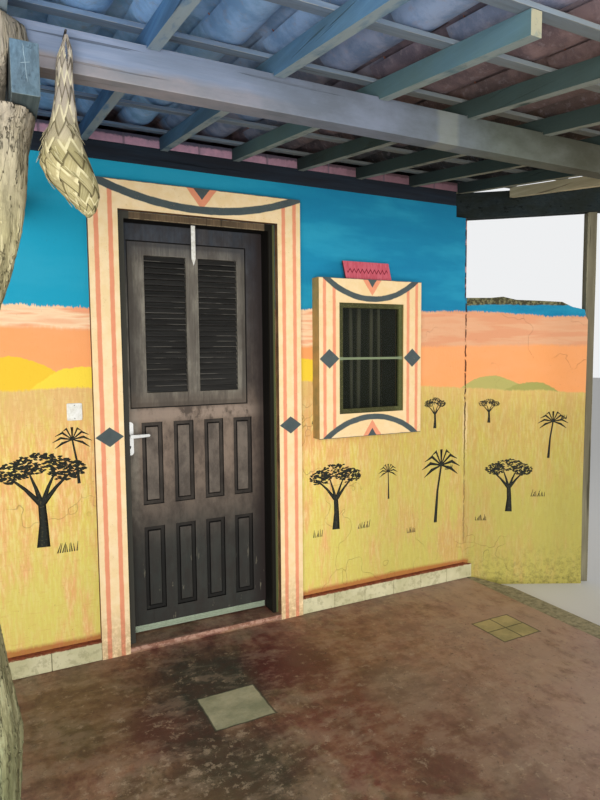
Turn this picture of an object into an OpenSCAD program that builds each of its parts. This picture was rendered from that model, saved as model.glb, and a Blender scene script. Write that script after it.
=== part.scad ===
/* [Room] */
// Outer width of the room along its front
room_w = 2820; // [2400:10:4200]
// Outer depth of the room, from front wall face to back wall face
room_d = 3400; // [2600:10:5000]
// Thickness of the plastered block walls
wall_t = 150; // [120:5:220]
// Height of the walls from the ground to the timber plate
wall_h = 2500; // [2440:10:2900]
// Top of the floor inside the room, above the ground
room_floor_h = 85; // [75:1:88]

/* [Veranda] */
// Top of the veranda floor, above the ground
floor_h = 60; // [40:1:62]
// Depth of the veranda floor in front of the wall
floor_d = 2050; // [1800:10:2090]
// Width of the grey edging strip along the floor's right edge
edging_w = 155; // [120:5:180]

/* [Doorway] */
// Middle of the doorway, from the middle of the front wall
door_x = -385; // [-420:5:-300]
// Width of the opening between the painted borders
door_open_w = 844; // [780:2:900]
// Height of the opening above the veranda floor
door_open_h = 2210; // [2050:5:2240]
// Width of the painted border round the doorway
border_w = 138; // [100:2:160]
// How far the painted border stands out of the wall
border_out = 40; // [20:5:60]
// Height of the doorstep above the veranda floor
step_h = 30; // [27:1:45]

/* [Door] */
// Thickness of the frame's sides at the stop
jamb_t = 35; // [30:1:45]
// Step in the frame that the leaf closes into
rebate = 12; // [9:1:15]
// Thickness of the leaf
leaf_t = 40; // [34:1:45]
// Clear gap round the leaf
leaf_gap = 5; // [5:0.5:6]
// Widest swing of the leaf into the room, in degrees
door_swing = 110; // [60:5:120]
// Width of the leaf's stile on the lock side
lock_stile = 91; // [70:1:110]
// Width of the leaf's stile on the hinge side
hinge_stile = 78; // [60:1:100]
// Width of the upright bars between the panels
muntin = 62; // [45:1:75]
// Height of the leaf's bottom rail
bottom_rail = 109; // [80:1:150]
// Height of the lower panels
lower_panel_h = 452; // [400:2:500]
// Height of the rail between the two rows of panels
mid_rail = 120; // [80:2:150]
// Height of the rail under the sash of slats
lock_rail = 78; // [60:2:110]
// Height of the rail over the sash of slats
top_rail = 92; // [60:2:120]
// Height of the sash of slats
sash_h = 858; // [780:2:880]
// Width of the sash of slats
sash_w = 646; // [600:2:660]
// Set of the sash from the leaf's lock edge
sash_inset = 39; // [30:1:60]
// Depth of one louvre slat across its slope
slat_d = 34; // [28:1:38]
// Thickness of one louvre slat
slat_t = 7; // [5:0.5:9]
// Louvre slats in each column
slat_n = 24; // [14:1:26]
// Height of the lever above the veranda floor
lever_h = 1090; // [950:5:1150]

/* [Window] */
// Middle of the window, from the middle of the front wall
window_x = 625; // [560:5:700]
// Underside of the window border above the veranda floor
window_z = 1020; // [900:5:1100]
// Width of the window opening
pane_w = 448; // [380:2:480]
// Height of the window opening
pane_h = 638; // [560:2:700]
// Width of the painted border beside the window
window_border = 132; // [100:2:150]
// Height of the painted border over and under the window
window_border_h = 138; // [100:2:150]
// How far the window border stands out of the wall
window_out = 80; // [40:5:110]

/* [Roof] */
// Slope of the roof in degrees
roof_pitch = 7.3; // [5:0.1:12]
// Height of the timber plate on the walls
plate_h = 90; // [60:5:110]
// Width of a rafter
rafter_w = 38; // [30:1:60]
// Depth of a rafter
rafter_d = 64; // [55:1:90]
// Rafters across the house
rafter_n = 8; // [6:1:10]
// Middle of the first rafter, in from the left wall's outer face
rafter_inset = 79; // [40:1:120]
// Middle of the last rafter, in from the right wall's outer face
rafter_last = 61; // [40:1:80]
// How far the front rafters run past the front wall
eave_front = 1990; // [1900:10:2200]
// How far the back rafters run past the back wall
eave_back = 300; // [150:10:450]
// How far the tiles hang past the rafters' ends
tile_overhang = 120; // [60:5:130]
// How far the roof stands past the side walls
verge = 310; // [250:10:350]
// Width of a tile batten
lath_w = 50; // [35:1:60]
// Thickness of a tile batten
lath_t = 15; // [12:1:25]
// Spacing of the tile battens up the slope
lath_step = 398; // [300:2:420]
// Columns of tiles across the roof
tile_columns = 17; // [13:1:19]
// Rise of a tile column over the channel beside it
tile_rise = 75; // [55:1:85]
// Thickness of the tile layer
tile_t = 15; // [12:1:20]

/* [Timber posts and beams] */
// Front face of the veranda beam, in front of the wall
beam_out = 1350; // [1250:10:1450]
// Thickness of the veranda beam
beam_w = 70; // [60:1:90]
// Depth of the veranda beam
beam_h = 113; // [100:1:140]
// Width of the short beam that runs from wall to fork
tie_w = 66; // [50:1:80]
// Depth of the short beam
tie_h = 125; // [100:1:150]
// How far the short beam's end stands past the veranda beam
tie_out = 132; // [80:2:180]
// Middle of the short beam, in from the left wall's outer face
tie_inset = 127; // [125:1:140]
// Depth of the corner beam
corner_beam_h = 166; // [130:2:180]
// Thickness of the corner beam
corner_beam_w = 76; // [60:2:90]
// Rise of the corner beam from the wall to its post
corner_beam_rise = 38; // [20:2:60]
// Side of the square post at the wing wall's end
wing_post_w = 62; // [60:1:90]
// Foot radius of the trunk that carries the right end of the beam
right_trunk_r = 95; // [80:1:110]

/* [Wing wall] */
// Angle of the wing wall from the front wall, in degrees
wing_turn = 27; // [15:0.2:35]
// Length of the wing wall along its face
wing_l = 800; // [700:5:850]
// Thickness of the wing wall
wing_t = 110; // [90:5:130]
// Height of the wing wall above the ground where it meets the house
wing_h = 1920; // [1700:10:2100]

/* [Hidden] */

fit = 0.3;
over = 10;

left_x = -room_w / 2;
right_x = room_w / 2;
front_y = -room_d / 2;
back_y = room_d / 2;
inner_front_y = front_y + wall_t;
inner_back_y = back_y - wall_t;

door_left = door_x - door_open_w / 2;
door_right = door_x + door_open_w / 2;
door_top = floor_h + door_open_h;
step_top = floor_h + step_h;

// Slope of the rafters: their underside runs through the plate, and dips into it by the seat
seat = 12;
slope = tan(roof_pitch);
plate_top = wall_h + plate_h;
function under_z(y) = plate_top - seat + (room_d / 2 - abs(y)) * slope;
rafter_rise = rafter_d / cos(roof_pitch);
function over_z(y) = under_z(y) + rafter_rise;
function lath_z(y) = over_z(y) + fit + lath_t / cos(roof_pitch);

beam_y = front_y - beam_out;
beam_top = under_z(beam_y) + seat;
beam_bottom = beam_top - beam_h;
tie_x = left_x + tie_inset;
rafter_end_y = front_y - eave_front;
back_end_y = back_y + eave_back;
ridge_w = 60;
ridge_h = 120;
ridge_seat = 8;
ridge_top = under_z(ridge_w / 2) + ridge_seat;

rafter_step = (room_w - rafter_inset - rafter_last) / (rafter_n - 1);

function rafter_x(i) = left_x + rafter_inset + i * rafter_step;

// Side outlines are drawn as (y, z) and pulled out along X
module side_slab(x0, width) {
    translate([x0, 0, 0]) rotate([90, 0, 90]) linear_extrude(width) children();
}

// Front outlines are drawn as (x, z) and pulled back along Y
module front_slab(y0, depth) {
    translate([0, y0 + depth, 0]) rotate([90, 0, 0]) linear_extrude(depth) children();
}

module block(x0, x1, y0, y1, z0, z1) {
    translate([x0, y0, z0]) cube([x1 - x0, y1 - y0, z1 - z0]);
}

// Floors

trunk_foot_out = 90;
trunk_foot_x = left_x - trunk_foot_out;
trunk_foot_r = 146;
trunk_y = beam_y + beam_w / 2;
right_trunk_out = 150;
right_trunk_x = right_x + right_trunk_out;
trunk_gap = 8;
floor_front_y = front_y - floor_d;
floor_under_verge = 20;
floor_left_x = left_x - verge + floor_under_verge;
edging_drop = 8;
edging_gap = 2;
edging_neck = 60;
edging_widens = 290;

function wing_face_y(x) = front_y - (x - right_x) * tan(wing_turn);

module edging_outline() {
    polygon([
        [right_x + fit, front_y - edging_gap],
        [right_x + fit, floor_front_y],
        [right_x + edging_w, floor_front_y],
        [right_x + edging_w, front_y - edging_widens],
        [right_x + edging_neck, wing_face_y(right_x + edging_neck) - edging_gap]
    ]);
}

module trunk_holes() {
    translate([trunk_foot_x, trunk_y, -over]) cylinder(r = trunk_foot_r + trunk_gap, h = wall_h, $fn = 40);
    translate([right_trunk_x, trunk_y, -over]) cylinder(r = right_trunk_r + trunk_gap, h = wall_h, $fn = 40);
}

module room_floor() {
    color("rosybrown")
        block(left_x + wall_t, right_x - wall_t, inner_front_y, inner_back_y, 0, room_floor_h);
}

module veranda_floor() {
    color("sienna") difference() {
        block(floor_left_x, right_x, floor_front_y, front_y, 0, floor_h);
        trunk_holes();
    }
}

module floor_edging() {
    color("darkseagreen") difference() {
        linear_extrude(floor_h - edging_drop) edging_outline();
        trunk_holes();
    }
}

module doorstep() {
    color("saddlebrown") {
        block(door_left, door_right, front_y, inner_front_y, 0, step_top);
        block(door_left, door_right, front_y - border_out, front_y + over, floor_h, step_top);
    }
}

// Walls

notch_w = 90;
notch_deep = 70;
notch_z = wall_h - notch_deep;

module front_wall_left() {
    color("khaki") difference() {
        block(left_x, door_left, front_y, inner_front_y, 0, wall_h);
        tie_shape(fit);
    }
}

module front_wall_head() {
    color("deepskyblue") block(door_left, door_right, front_y, inner_front_y, door_top, wall_h);
}

window_bottom = floor_h + window_z + window_border_h;
window_left = window_x - pane_w / 2;

module front_wall_right() {
    color("khaki") difference() {
        block(door_right, right_x, front_y, inner_front_y, 0, wall_h);
        block(window_left, window_left + pane_w, front_y - over, inner_front_y + over,
            window_bottom, window_bottom + pane_h);
        block(right_x - notch_w, right_x + over, front_y - over, inner_front_y + over,
            notch_z, wall_h + over);
    }
}

gable_gap = 2;

module gable(x0) {
    side_slab(x0, wall_t) difference() {
        polygon([
            [inner_front_y, 0],
            [inner_back_y, 0],
            [inner_back_y, under_z(inner_back_y) - gable_gap],
            [0, under_z(0) - gable_gap],
            [inner_front_y, under_z(inner_front_y) - gable_gap]
        ]);
        translate([-ridge_w / 2 - fit, ridge_top - ridge_h - fit])
            square([ridge_w + 2 * fit, ridge_h + over]);
    }
}

module left_wall() {
    color("khaki") gable(left_x);
}

module right_wall() {
    color("khaki") gable(right_x - wall_t);
}

module back_wall() {
    color("khaki") block(left_x, right_x, inner_back_y, back_y, 0, wall_h);
}

// The wing wall, its post and the corner beam share one line, drawn as (distance along, z)
module along_wing(depth, back) {
    translate([right_x, front_y, 0]) rotate([0, 0, -wing_turn])
        translate([0, depth + back, 0]) rotate([90, 0, 0]) linear_extrude(depth) children();
}

module wing_wall() {
    color("goldenrod") difference() {
        along_wing(wing_t, 0) polygon([
            [-wing_t, 0],
            [wing_l, 0],
            [wing_l - 6, 600],
            [wing_l, wing_h - 149],
            [wing_l - 14, wing_h - 124],
            [wing_l - 22, wing_h - 81],
            [wing_l - 103, wing_h - 63],
            [wing_l - 171, wing_h - 30],
            [wing_l - 304, wing_h - 22],
            [wing_l - 471, wing_h - 14],
            [wing_l - 559, wing_h + 7],
            [wing_l - 638, wing_h],
            [-wing_t, wing_h + 2]
        ]);
        block(right_x - 2 * wing_t, right_x, front_y - 2 * wing_t, front_y + 2 * wing_t,
            -over, wing_h + 2 * over);
    }
}

// Corner beam: its foot lies in the notch of the wall, its far end on the post
corner_beam_back = 30;
corner_start = -80;
corner_past_post = 95;
corner_end = wing_l + wing_post_w + corner_past_post;
corner_slope = corner_beam_rise / wing_l;
function corner_under(s) = notch_z + fit + (s - corner_start) * corner_slope;

// Room taken by the battens and tiles above the rafters' tops
module above_rafters() {
    side_slab(0, right_x + verge + fit) polygon([
        [rafter_end_y, over_z(rafter_end_y)],
        [0, over_z(0)],
        [0, over_z(0) + wall_h],
        [rafter_end_y, over_z(0) + wall_h]
    ]);
}

module corner_beam() {
    color("darkslategray") difference() {
        along_wing(corner_beam_w, corner_beam_back) polygon([
            [corner_start, corner_under(corner_start)],
            [corner_end, corner_under(corner_end)],
            [corner_end, corner_under(corner_end) + corner_beam_h],
            [corner_start, corner_under(corner_start) + corner_beam_h]
        ]);
        above_rafters();
    }
}

module wing_post() {
    post_start = wing_l + fit;
    post_end = post_start + wing_post_w;
    color("darkolivegreen")
        along_wing(wing_post_w, corner_beam_back + (corner_beam_w - wing_post_w) / 2) polygon([
            [post_start, 0],
            [post_end, 0],
            [post_end, corner_under(post_end) - fit],
            [post_start, corner_under(post_start) - fit]
        ]);
}

// Painted borders and skirting

module door_surround() {
    color("moccasin") front_slab(front_y - border_out, border_out) difference() {
        translate([door_left - border_w, floor_h])
            square([door_open_w + 2 * border_w, door_open_h + border_w]);
        translate([door_left, floor_h - over]) square([door_open_w, door_open_h + over]);
    }
}

module window_surround() {
    color("moccasin") front_slab(front_y - window_out, window_out) difference() {
        translate([window_left - window_border, window_bottom - window_border_h])
            square([pane_w + 2 * window_border, pane_h + 2 * window_border_h]);
        translate([window_left, window_bottom]) square([pane_w, pane_h]);
    }
}

skirting_h = 95;
skirting_t = 40;
skirting_past = 40;

module skirting_left() {
    color("beige") block(left_x, door_left - border_w, front_y - skirting_t, front_y,
        floor_h, floor_h + skirting_h);
}

// The right skirting runs on past the corner, and its end is cut to the wing wall's face
module skirting_right() {
    skirting_end = right_x + skirting_past;
    color("beige") translate([0, 0, floor_h]) linear_extrude(skirting_h) polygon([
        [door_right + border_w, front_y],
        [door_right + border_w, front_y - skirting_t],
        [skirting_end, front_y - skirting_t],
        [skirting_end, wing_face_y(skirting_end) - fit],
        [right_x, front_y]
    ]);
}

// Door frame and leaf

leaf_back_y = inner_front_y;
leaf_y = leaf_back_y - leaf_t;
stop_y = leaf_y - leaf_gap;
clear_w = door_open_w - 2 * jamb_t;
clear_top = door_top - jamb_t;
leaf_w = clear_w + 2 * rebate - 2 * leaf_gap;
leaf_left = door_x - leaf_w / 2;
leaf_right = door_x + leaf_w / 2;
leaf_z = step_top + leaf_gap + 1;
leaf_top = clear_top + rebate - leaf_gap;
hinge_r = 6;
hinge_x = leaf_right + leaf_gap / 2;
hinge_y = leaf_back_y + hinge_r;

module frame_outline(thickness) {
    difference() {
        translate([door_left, step_top]) square([door_open_w, door_top - step_top]);
        translate([door_left + thickness, step_top - over])
            square([door_open_w - 2 * thickness, door_top - thickness - step_top + over]);
    }
}

module door_frame() {
    color("olivedrab") {
        front_slab(front_y, stop_y - front_y) frame_outline(jamb_t);
        front_slab(stop_y, inner_front_y - stop_y) frame_outline(jamb_t - rebate);
    }
}

hinge_l = 42;
hinge_plate_t = 2;
hinge_plate_w = 22;
hinge_places = [leaf_z + 220, (leaf_z + leaf_top) / 2, leaf_top - 220];

module hinge_half(z0, side) {
    translate([hinge_x, hinge_y, z0]) cylinder(r = hinge_r, h = hinge_l, $fn = 24);
    plate_x = side > 0 ? hinge_x : hinge_x - hinge_plate_w;
    block(plate_x, plate_x + hinge_plate_w, leaf_back_y, leaf_back_y + hinge_plate_t,
        z0, z0 + hinge_l);
}

module frame_hinges() {
    color("dimgray") for (z = hinge_places) hinge_half(z - hinge_l - fit, 1);
}

module leaf_hinges() {
    color("dimgray") for (z = hinge_places) hinge_half(z, -1);
}

// The sash sits high in the leaf; the panels stand in two rows of four below it
panel_columns = 4;
sash_left = leaf_left + sash_inset;
sash_z = leaf_top - top_rail - sash_h;
panel_w = (leaf_w - lock_stile - hinge_stile - (panel_columns - 1) * muntin) / panel_columns;
upper_panel_z = leaf_z + bottom_rail + lower_panel_h + mid_rail;
panel_rows = [leaf_z + bottom_rail, upper_panel_z];
panel_heights = [lower_panel_h, sash_z - lock_rail - upper_panel_z];

function panel_x(i) = leaf_left + lock_stile + i * (panel_w + muntin);

module door_leaf() {
    color("dimgray") front_slab(leaf_y, leaf_t) difference() {
        translate([leaf_left, leaf_z]) square([leaf_w, leaf_top - leaf_z]);
        for (row = [0, 1]) for (i = [0 : panel_columns - 1])
            translate([panel_x(i), panel_rows[row]]) square([panel_w, panel_heights[row]]);
        translate([sash_left, sash_z]) square([sash_w, sash_h]);
    }
}

sash_stile_left = 87;
sash_stile_right = 49;
sash_mullion = 68;
sash_rail_low = 78;
sash_rail_high = 70;
sash_in = 4;
louvre_w = (sash_w - sash_stile_left - sash_stile_right - sash_mullion) / 2;
louvre_z = sash_z + sash_rail_low;
louvre_h = sash_h - sash_rail_low - sash_rail_high;

function louvre_x(i) = sash_left + sash_stile_left + i * (louvre_w + sash_mullion);

module louvre_sash() {
    color("gray") front_slab(leaf_y + sash_in, leaf_t - sash_in) difference() {
        translate([sash_left + fit, sash_z + fit]) square([sash_w - 2 * fit, sash_h - 2 * fit]);
        for (i = [0, 1])
            translate([louvre_x(i), louvre_z]) square([louvre_w, louvre_h]);
    }
}

slat_tilt = 50;
slat_in = 5;

module door_louvres() {
    slat_reach = (slat_d * sin(slat_tilt) + slat_t * cos(slat_tilt)) / 2 + fit;
    slat_step = (louvre_h - 2 * slat_reach) / (slat_n - 1);
    color("gray") for (i = [0, 1]) for (k = [0 : slat_n - 1])
        translate([louvre_x(i) + fit, leaf_y + slat_in + leaf_t / 2, louvre_z + slat_reach + k * slat_step])
            rotate([slat_tilt, 0, 0]) translate([0, -slat_d / 2, -slat_t / 2])
                cube([louvre_w - 2 * fit, slat_d, slat_t]);
}

panel_t = 16;
field_in = 18;
field_t = 8;
field_slope = 16;

module raised_panel(w, h) {
    translate([fit, -panel_t / 2, fit]) cube([w - 2 * fit, panel_t, h - 2 * fit]);
    for (turn = [0, 1]) translate([w / 2, 0, h / 2]) rotate([90, 0, turn * 180])
        translate([0, 0, panel_t / 2 - fit])
            linear_extrude(field_t, scale = [1 - field_slope / w, 1 - field_slope / h])
                square([w - 2 * field_in, h - 2 * field_in], center = true);
}

module door_panels() {
    color("dimgray") for (row = [0, 1]) for (i = [0 : panel_columns - 1])
        translate([panel_x(i), leaf_y + leaf_t / 2, panel_rows[row]])
            raised_panel(panel_w, panel_heights[row]);
}

plate_x = leaf_left + 30;
plate_long = 174;
plate_wide = 34;
lever_l = 98;

module handle(side) {
    // side is -1 outside and 1 inside the room
    face = side < 0 ? leaf_y : leaf_back_y;
    plate_z = floor_h + lever_h - 102;
    translate([plate_x, face, 0]) rotate([90, 0, 0]) mirror([0, 0, side < 0 ? 0 : 1]) {
        hull() {
            translate([0, plate_z + plate_wide / 2]) cylinder(d = plate_wide, h = 3, $fn = 32);
            translate([0, plate_z + plate_long - plate_wide / 2])
                cylinder(d = plate_wide, h = 3, $fn = 32);
        }
        translate([0, floor_h + lever_h]) cylinder(r = 9, h = 42, $fn = 24);
        hull() {
            translate([0, floor_h + lever_h, 42]) cylinder(r = 9, h = 10, $fn = 24);
            translate([lever_l - 12, floor_h + lever_h + 2, 40]) cylinder(r = 7, h = 10, $fn = 24);
        }
    }
}

module door_handles() {
    color("gainsboro") for (side = [-1, 1]) handle(side);
}

strip_h = 33;
strip_t = 8;

module weather_strip() {
    color("honeydew") block(door_x - clear_w / 2 + leaf_gap, door_x + clear_w / 2 - leaf_gap,
        leaf_y - strip_t, leaf_y, leaf_z, leaf_z + strip_h);
}

slat_hang = 205;
slat_half = 11;
slat_point = 35;
slat_left_of_middle = 27;
slat_back = 34;

module door_slat() {
    slat_x = door_x - slat_left_of_middle;
    color("white") front_slab(front_y + slat_back, 3) polygon([
        [slat_x - slat_half, clear_top],
        [slat_x - slat_half, clear_top - slat_hang + slat_point],
        [slat_x, clear_top - slat_hang],
        [slat_x + slat_half, clear_top - slat_hang + slat_point],
        [slat_x + slat_half, clear_top]
    ]);
}

// Window

window_bar = 28;
window_transom = 14;
window_bar_d = 30;
window_set = 8;
window_y = front_y - window_out + window_set;
light_h = (pane_h - 2 * window_bar - window_transom) / 2;

module window_lights(grow) {
    for (i = [0, 1])
        translate([window_left + window_bar - grow, window_bottom + window_bar - grow
            + i * (light_h + window_transom)])
            square([pane_w - 2 * window_bar + 2 * grow, light_h + 2 * grow]);
}

module window_frame() {
    color("darkolivegreen") front_slab(window_y, window_bar_d) difference() {
        translate([window_left, window_bottom]) square([pane_w, pane_h]);
        window_lights(0);
    }
}

module window_glass() {
    color("darkslategray", 0.6) front_slab(window_y + window_bar_d / 2 - 2, 4) window_lights(-fit);
}

rod_out = 32;
rod_y = inner_front_y + rod_out;
rod_z = window_bottom + pane_h + 70;
rod_l = pane_w + 370;
rod_r = 8;

module curtain_rod() {
    color("peru") {
        translate([window_x - rod_l / 2, rod_y, rod_z]) rotate([0, 90, 0])
            cylinder(r = rod_r, h = rod_l, $fn = 24);
        for (s = [-1, 1]) translate([window_x + s * (rod_l / 2 - 25), inner_front_y, rod_z])
            rotate([-90, 0, 0]) cylinder(r = 6, h = rod_out, $fn = 20);
    }
}

curtain_t = 26;

module window_curtain() {
    curtain_w = pane_w + 290;
    color("darkkhaki") block(window_x - curtain_w / 2, window_x + curtain_w / 2,
        rod_y - curtain_t / 2, rod_y + curtain_t / 2,
        window_bottom - 90, rod_z - rod_r - fit);
}

// Plates, beams and rafters

module front_plate() {
    color("saddlebrown") block(left_x, right_x - notch_w - fit, front_y, inner_front_y,
        wall_h, plate_top);
}

module back_plate() {
    color("saddlebrown") block(left_x, right_x, inner_back_y, back_y, wall_h, plate_top);
}

module ridge_beam() {
    color("saddlebrown") block(left_x, right_x, -ridge_w / 2, ridge_w / 2,
        ridge_top - ridge_h, ridge_top);
}

beam_past_tie = 24;
tie_in_wall = 70;

module veranda_beam() {
    color("slategray") block(tie_x - tie_w / 2 - beam_past_tie, right_x + verge, beam_y, beam_y + beam_w,
        beam_bottom, beam_top);
}

module tie_shape(grow) {
    block(tie_x - tie_w / 2 - grow, tie_x + tie_w / 2 + grow, beam_y - tie_out, front_y + tie_in_wall + grow,
        beam_bottom - tie_h - grow, beam_bottom + grow);
}

module tie_beam() {
    color("slategray") tie_shape(0);
}

module rafter_side(y0, y1) {
    difference() {
        polygon([
            [y0, under_z(y0)],
            [y1, under_z(y1)],
            [y1, over_z(y1)],
            [y0, over_z(y0)]
        ]);
        translate([front_y, plate_top - 2 * seat]) square([wall_t, 2 * seat]);
        translate([inner_back_y, plate_top - 2 * seat]) square([wall_t, 2 * seat]);
        translate([beam_y, beam_top - 2 * seat]) square([beam_w, 2 * seat]);
        translate([-ridge_w / 2, ridge_top - 2 * seat]) square([ridge_w, 2 * seat]);
    }
}

module front_rafters() {
    color("slategray") difference() {
        for (i = [0 : rafter_n - 1])
            side_slab(rafter_x(i) - rafter_w / 2, rafter_w)
                rafter_side(rafter_end_y, -fit);
        corner_clear();
    }
}

module back_rafters() {
    color("slategray") for (i = [0 : rafter_n - 1])
        side_slab(rafter_x(i) - rafter_w / 2, rafter_w) rafter_side(fit, back_end_y);
}

verge_rafter_in = 40;
verge_rafter_x = right_x + verge - verge_rafter_in;
function corner_front_y(x) = wing_face_y(x) + corner_beam_back / cos(wing_turn);
verge_rafter_end = corner_front_y(verge_rafter_x + rafter_w / 2) - fit;

module verge_rafter() {
    color("tan") side_slab(verge_rafter_x - rafter_w / 2, rafter_w)
        rafter_side(rafter_end_y, verge_rafter_end);
}

// Battens lie along the house on top of the rafters
lath_first = lath_step - tile_overhang - fit;
lath_front_n = floor((room_d / 2 + eave_front - lath_first - 2 * lath_w) / lath_step);
lath_back_n = floor((room_d / 2 + eave_back - lath_first - 2 * lath_w) / lath_step);

module lath_side(y0) {
    y1 = y0 + lath_w;
    polygon([
        [y0, over_z(y0) + fit],
        [y1, over_z(y1) + fit],
        [y1, lath_z(y1)],
        [y0, lath_z(y0)]
    ]);
}

module lath(y0) {
    side_slab(left_x - verge, room_w + 2 * verge) lath_side(y0);
}

module front_laths() {
    color("lightslategray") {
        lath(rafter_end_y);
        for (k = [0 : lath_front_n]) lath(rafter_end_y + lath_first + k * lath_step);
    }
}

module back_laths() {
    color("lightslategray") {
        lath(back_end_y - lath_w);
        for (k = [0 : lath_back_n]) lath(back_end_y - lath_w - lath_first - k * lath_step);
    }
}

module infill(y0, y1) {
    for (i = [0 : rafter_n - 2])
        side_slab(rafter_x(i) + rafter_w / 2 + fit, rafter_step - rafter_w - 2 * fit) polygon([
            [y0, plate_top],
            [y1, plate_top],
            [y1, over_z(y1)],
            [y0, over_z(y0)]
        ]);
}

module front_infill() {
    color("indianred") difference() {
        infill(front_y, inner_front_y);
        corner_clear();
    }
}

module corner_clear() {
    along_wing(corner_beam_w + 2 * fit, corner_beam_back - fit) polygon([
        [corner_start - fit, notch_z],
        [corner_end, notch_z],
        [corner_end, corner_under(corner_end) + corner_beam_h + fit],
        [corner_start - fit, corner_under(corner_start) + corner_beam_h + fit]
    ]);
}

module back_infill() {
    color("indianred") infill(inner_back_y, back_y);
}

// Roof tiles: columns of covers with channels between them
wave_w = (room_w + 2 * verge) / tile_columns;
wave_steps = 8;
function wave(x) = tile_rise * (1 - cos(360 * x / wave_w)) / 2;

module tile_profile() {
    n = tile_columns * wave_steps;
    dx = wave_w / wave_steps;
    polygon(concat(
        [for (i = [0 : n]) [i * dx, wave(i * dx)]],
        [for (i = [n : -1 : 0]) [i * dx, wave(i * dx) + tile_t]]
    ));
}

module tile_slope(run) {
    l = run / cos(roof_pitch);
    rotate([roof_pitch, 0, 0]) rotate([90, 0, 0]) translate([0, 0, -l]) linear_extrude(l)
        tile_profile();
}

ridge_gap = 8;

module front_tiles() {
    y0 = rafter_end_y - tile_overhang;
    color("rosybrown") translate([left_x - verge, y0, lath_z(y0) + fit]) tile_slope(-ridge_gap - y0);
}

module back_tiles() {
    y0 = back_end_y + tile_overhang;
    color("rosybrown") translate([right_x + verge, y0, lath_z(y0) + fit]) rotate([0, 0, 180])
        tile_slope(y0 - ridge_gap);
}

ridge_r = 105;

module ridge_tiles() {
    z0 = lath_z(ridge_r) + (tile_rise + tile_t) / cos(roof_pitch) + 2 * fit;
    color("rosybrown") translate([left_x - verge, 0, z0]) rotate([90, 0, 90])
        linear_extrude(room_w + 2 * verge) difference() {
            circle(r = ridge_r + tile_t, $fn = 32);
            circle(r = ridge_r, $fn = 32);
            translate([-2 * ridge_r, -2 * ridge_r]) square([4 * ridge_r, 2 * ridge_r]);
        }
}

// Posts: a limb's rings are [x, y, z, radius, depth as a share of the radius], joined in one skin
limb_sides = 16;
limb_flutes = 5;
limb_ripple = 0.05;

function bark(k, twist) = 1 + limb_ripple * sin(limb_flutes * 360 * k / limb_sides + twist);

function ring(p, twist) = [for (k = [0 : limb_sides - 1])
    [p[0] + p[3] * cos(360 * k / limb_sides) * bark(k, twist),
     p[1] + p[3] * p[4] * sin(360 * k / limb_sides) * bark(k, twist),
     p[2]]];

module limb(points) {
    n = len(points);
    s = limb_sides;
    skin = [for (i = [0 : n - 1]) each ring(points[i], 30 * i)];
    sides = [for (i = [0 : n - 2]) for (k = [0 : s - 1])
        [i * s + k, (i + 1) * s + k, (i + 1) * s + (k + 1) % s, i * s + (k + 1) % s]];
    foot = [for (k = [0 : s - 1]) k];
    head = [for (k = [s - 1 : -1 : 0]) (n - 1) * s + k];
    polyhedron(skin, concat(sides, [foot], [head]), convexity = 4);
}

tie_bottom = beam_bottom - tie_h;
prong_top = under_z(trunk_y - 125) - fit;

// The fork is cut out where the tie beam lies in it and where it clasps the end of the beam
module trunk_post() {
    x = trunk_foot_x;
    y = trunk_y;
    color("darkgray") difference() {
        trunk_limbs(x, y);
        tie_shape(fit);
        block(tie_x - tie_w / 2 - beam_past_tie - fit, right_x, beam_y - fit, beam_y + beam_w + fit,
            beam_bottom - fit, beam_top + fit);
    }
}

module trunk_limbs(x, y) {
    union() {
        limb([
            [x, y, 0, trunk_foot_r, 0.95],
            [x + 3, y, 350, trunk_foot_r - 8, 0.95],
            [x + 10, y, 560, trunk_foot_r - 2, 0.95],
            [x + 2, y, 700, 128, 0.95],
            [x - 6, y + 4, 860, 114, 1],
            [x - 10, y + 8, 1250, 104, 1],
            [x + 4, y + 8, 1600, 114, 0.95],
            [x + 50, y + 4, 1770, 128, 0.85],
            [x + 71, y, 1880, 138, 0.75],
            [x + 89, y, 1980, 138, 0.7],
            [x + 114, y - 12, 2106, 122, 0.80],
            [x + 138, y - 28, tie_bottom - fit, 115, 0.94]
        ]);
        limb([
            [x + 40, y, 1960, 70, 0.9],
            [x + 84, y - 10, 2120, 76, 1.05],
            [x + 100, y - 18, 2240, 82, 1.1],
            [x + 146, y - 18, 2292, 110, 0.88],
            [x + 136, y - 18, prong_top, 98, 0.94]
        ]);
    }
}

module right_trunk() {
    x = right_trunk_x;
    y = trunk_y;
    r = right_trunk_r;
    color("darkgray") limb([
        [x, y, 0, r, 1],
        [x + 8, y, 260, r - 10, 1],
        [x + 12, y, 560, r - 14, 1],
        [x + 18, y - 6, 900, r - 16, 1],
        [x + 4, y, 1400, r - 12, 0.95],
        [x - 8, y + 4, 1900, r - 16, 0.95],
        [x, y, beam_bottom - fit, r - 18, 1]
    ]);
}

// Small things on the wall and the beam

switch_gap = 50;
switch_w = 70;
switch_h = 83;
switch_t = 9;
switch_z = floor_h + 1198;

module switch_plate() {
    switch_right = door_left - border_w - switch_gap;
    color("white") block(switch_right - switch_w, switch_right, front_y - switch_t, front_y,
        switch_z, switch_z + switch_h);
}

// The bare board leans a little to the left as it stands on the window's border
sign_left_of_middle = 2;
sign_w = 317;
sign_h = 102;
sign_lean = 24;
sign_t = 14;
sign_back = 38;

module sign_board() {
    base = window_bottom + pane_h + window_border_h;
    mid = window_x - sign_left_of_middle;
    color("firebrick") front_slab(front_y - sign_back - sign_t, sign_t) polygon([
        [mid - sign_w / 2, base],
        [mid + sign_w / 2, base],
        [mid + sign_w / 2 - sign_lean, base + sign_h],
        [mid - sign_w / 2 - sign_lean, base + sign_h]
    ]);
}

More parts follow.
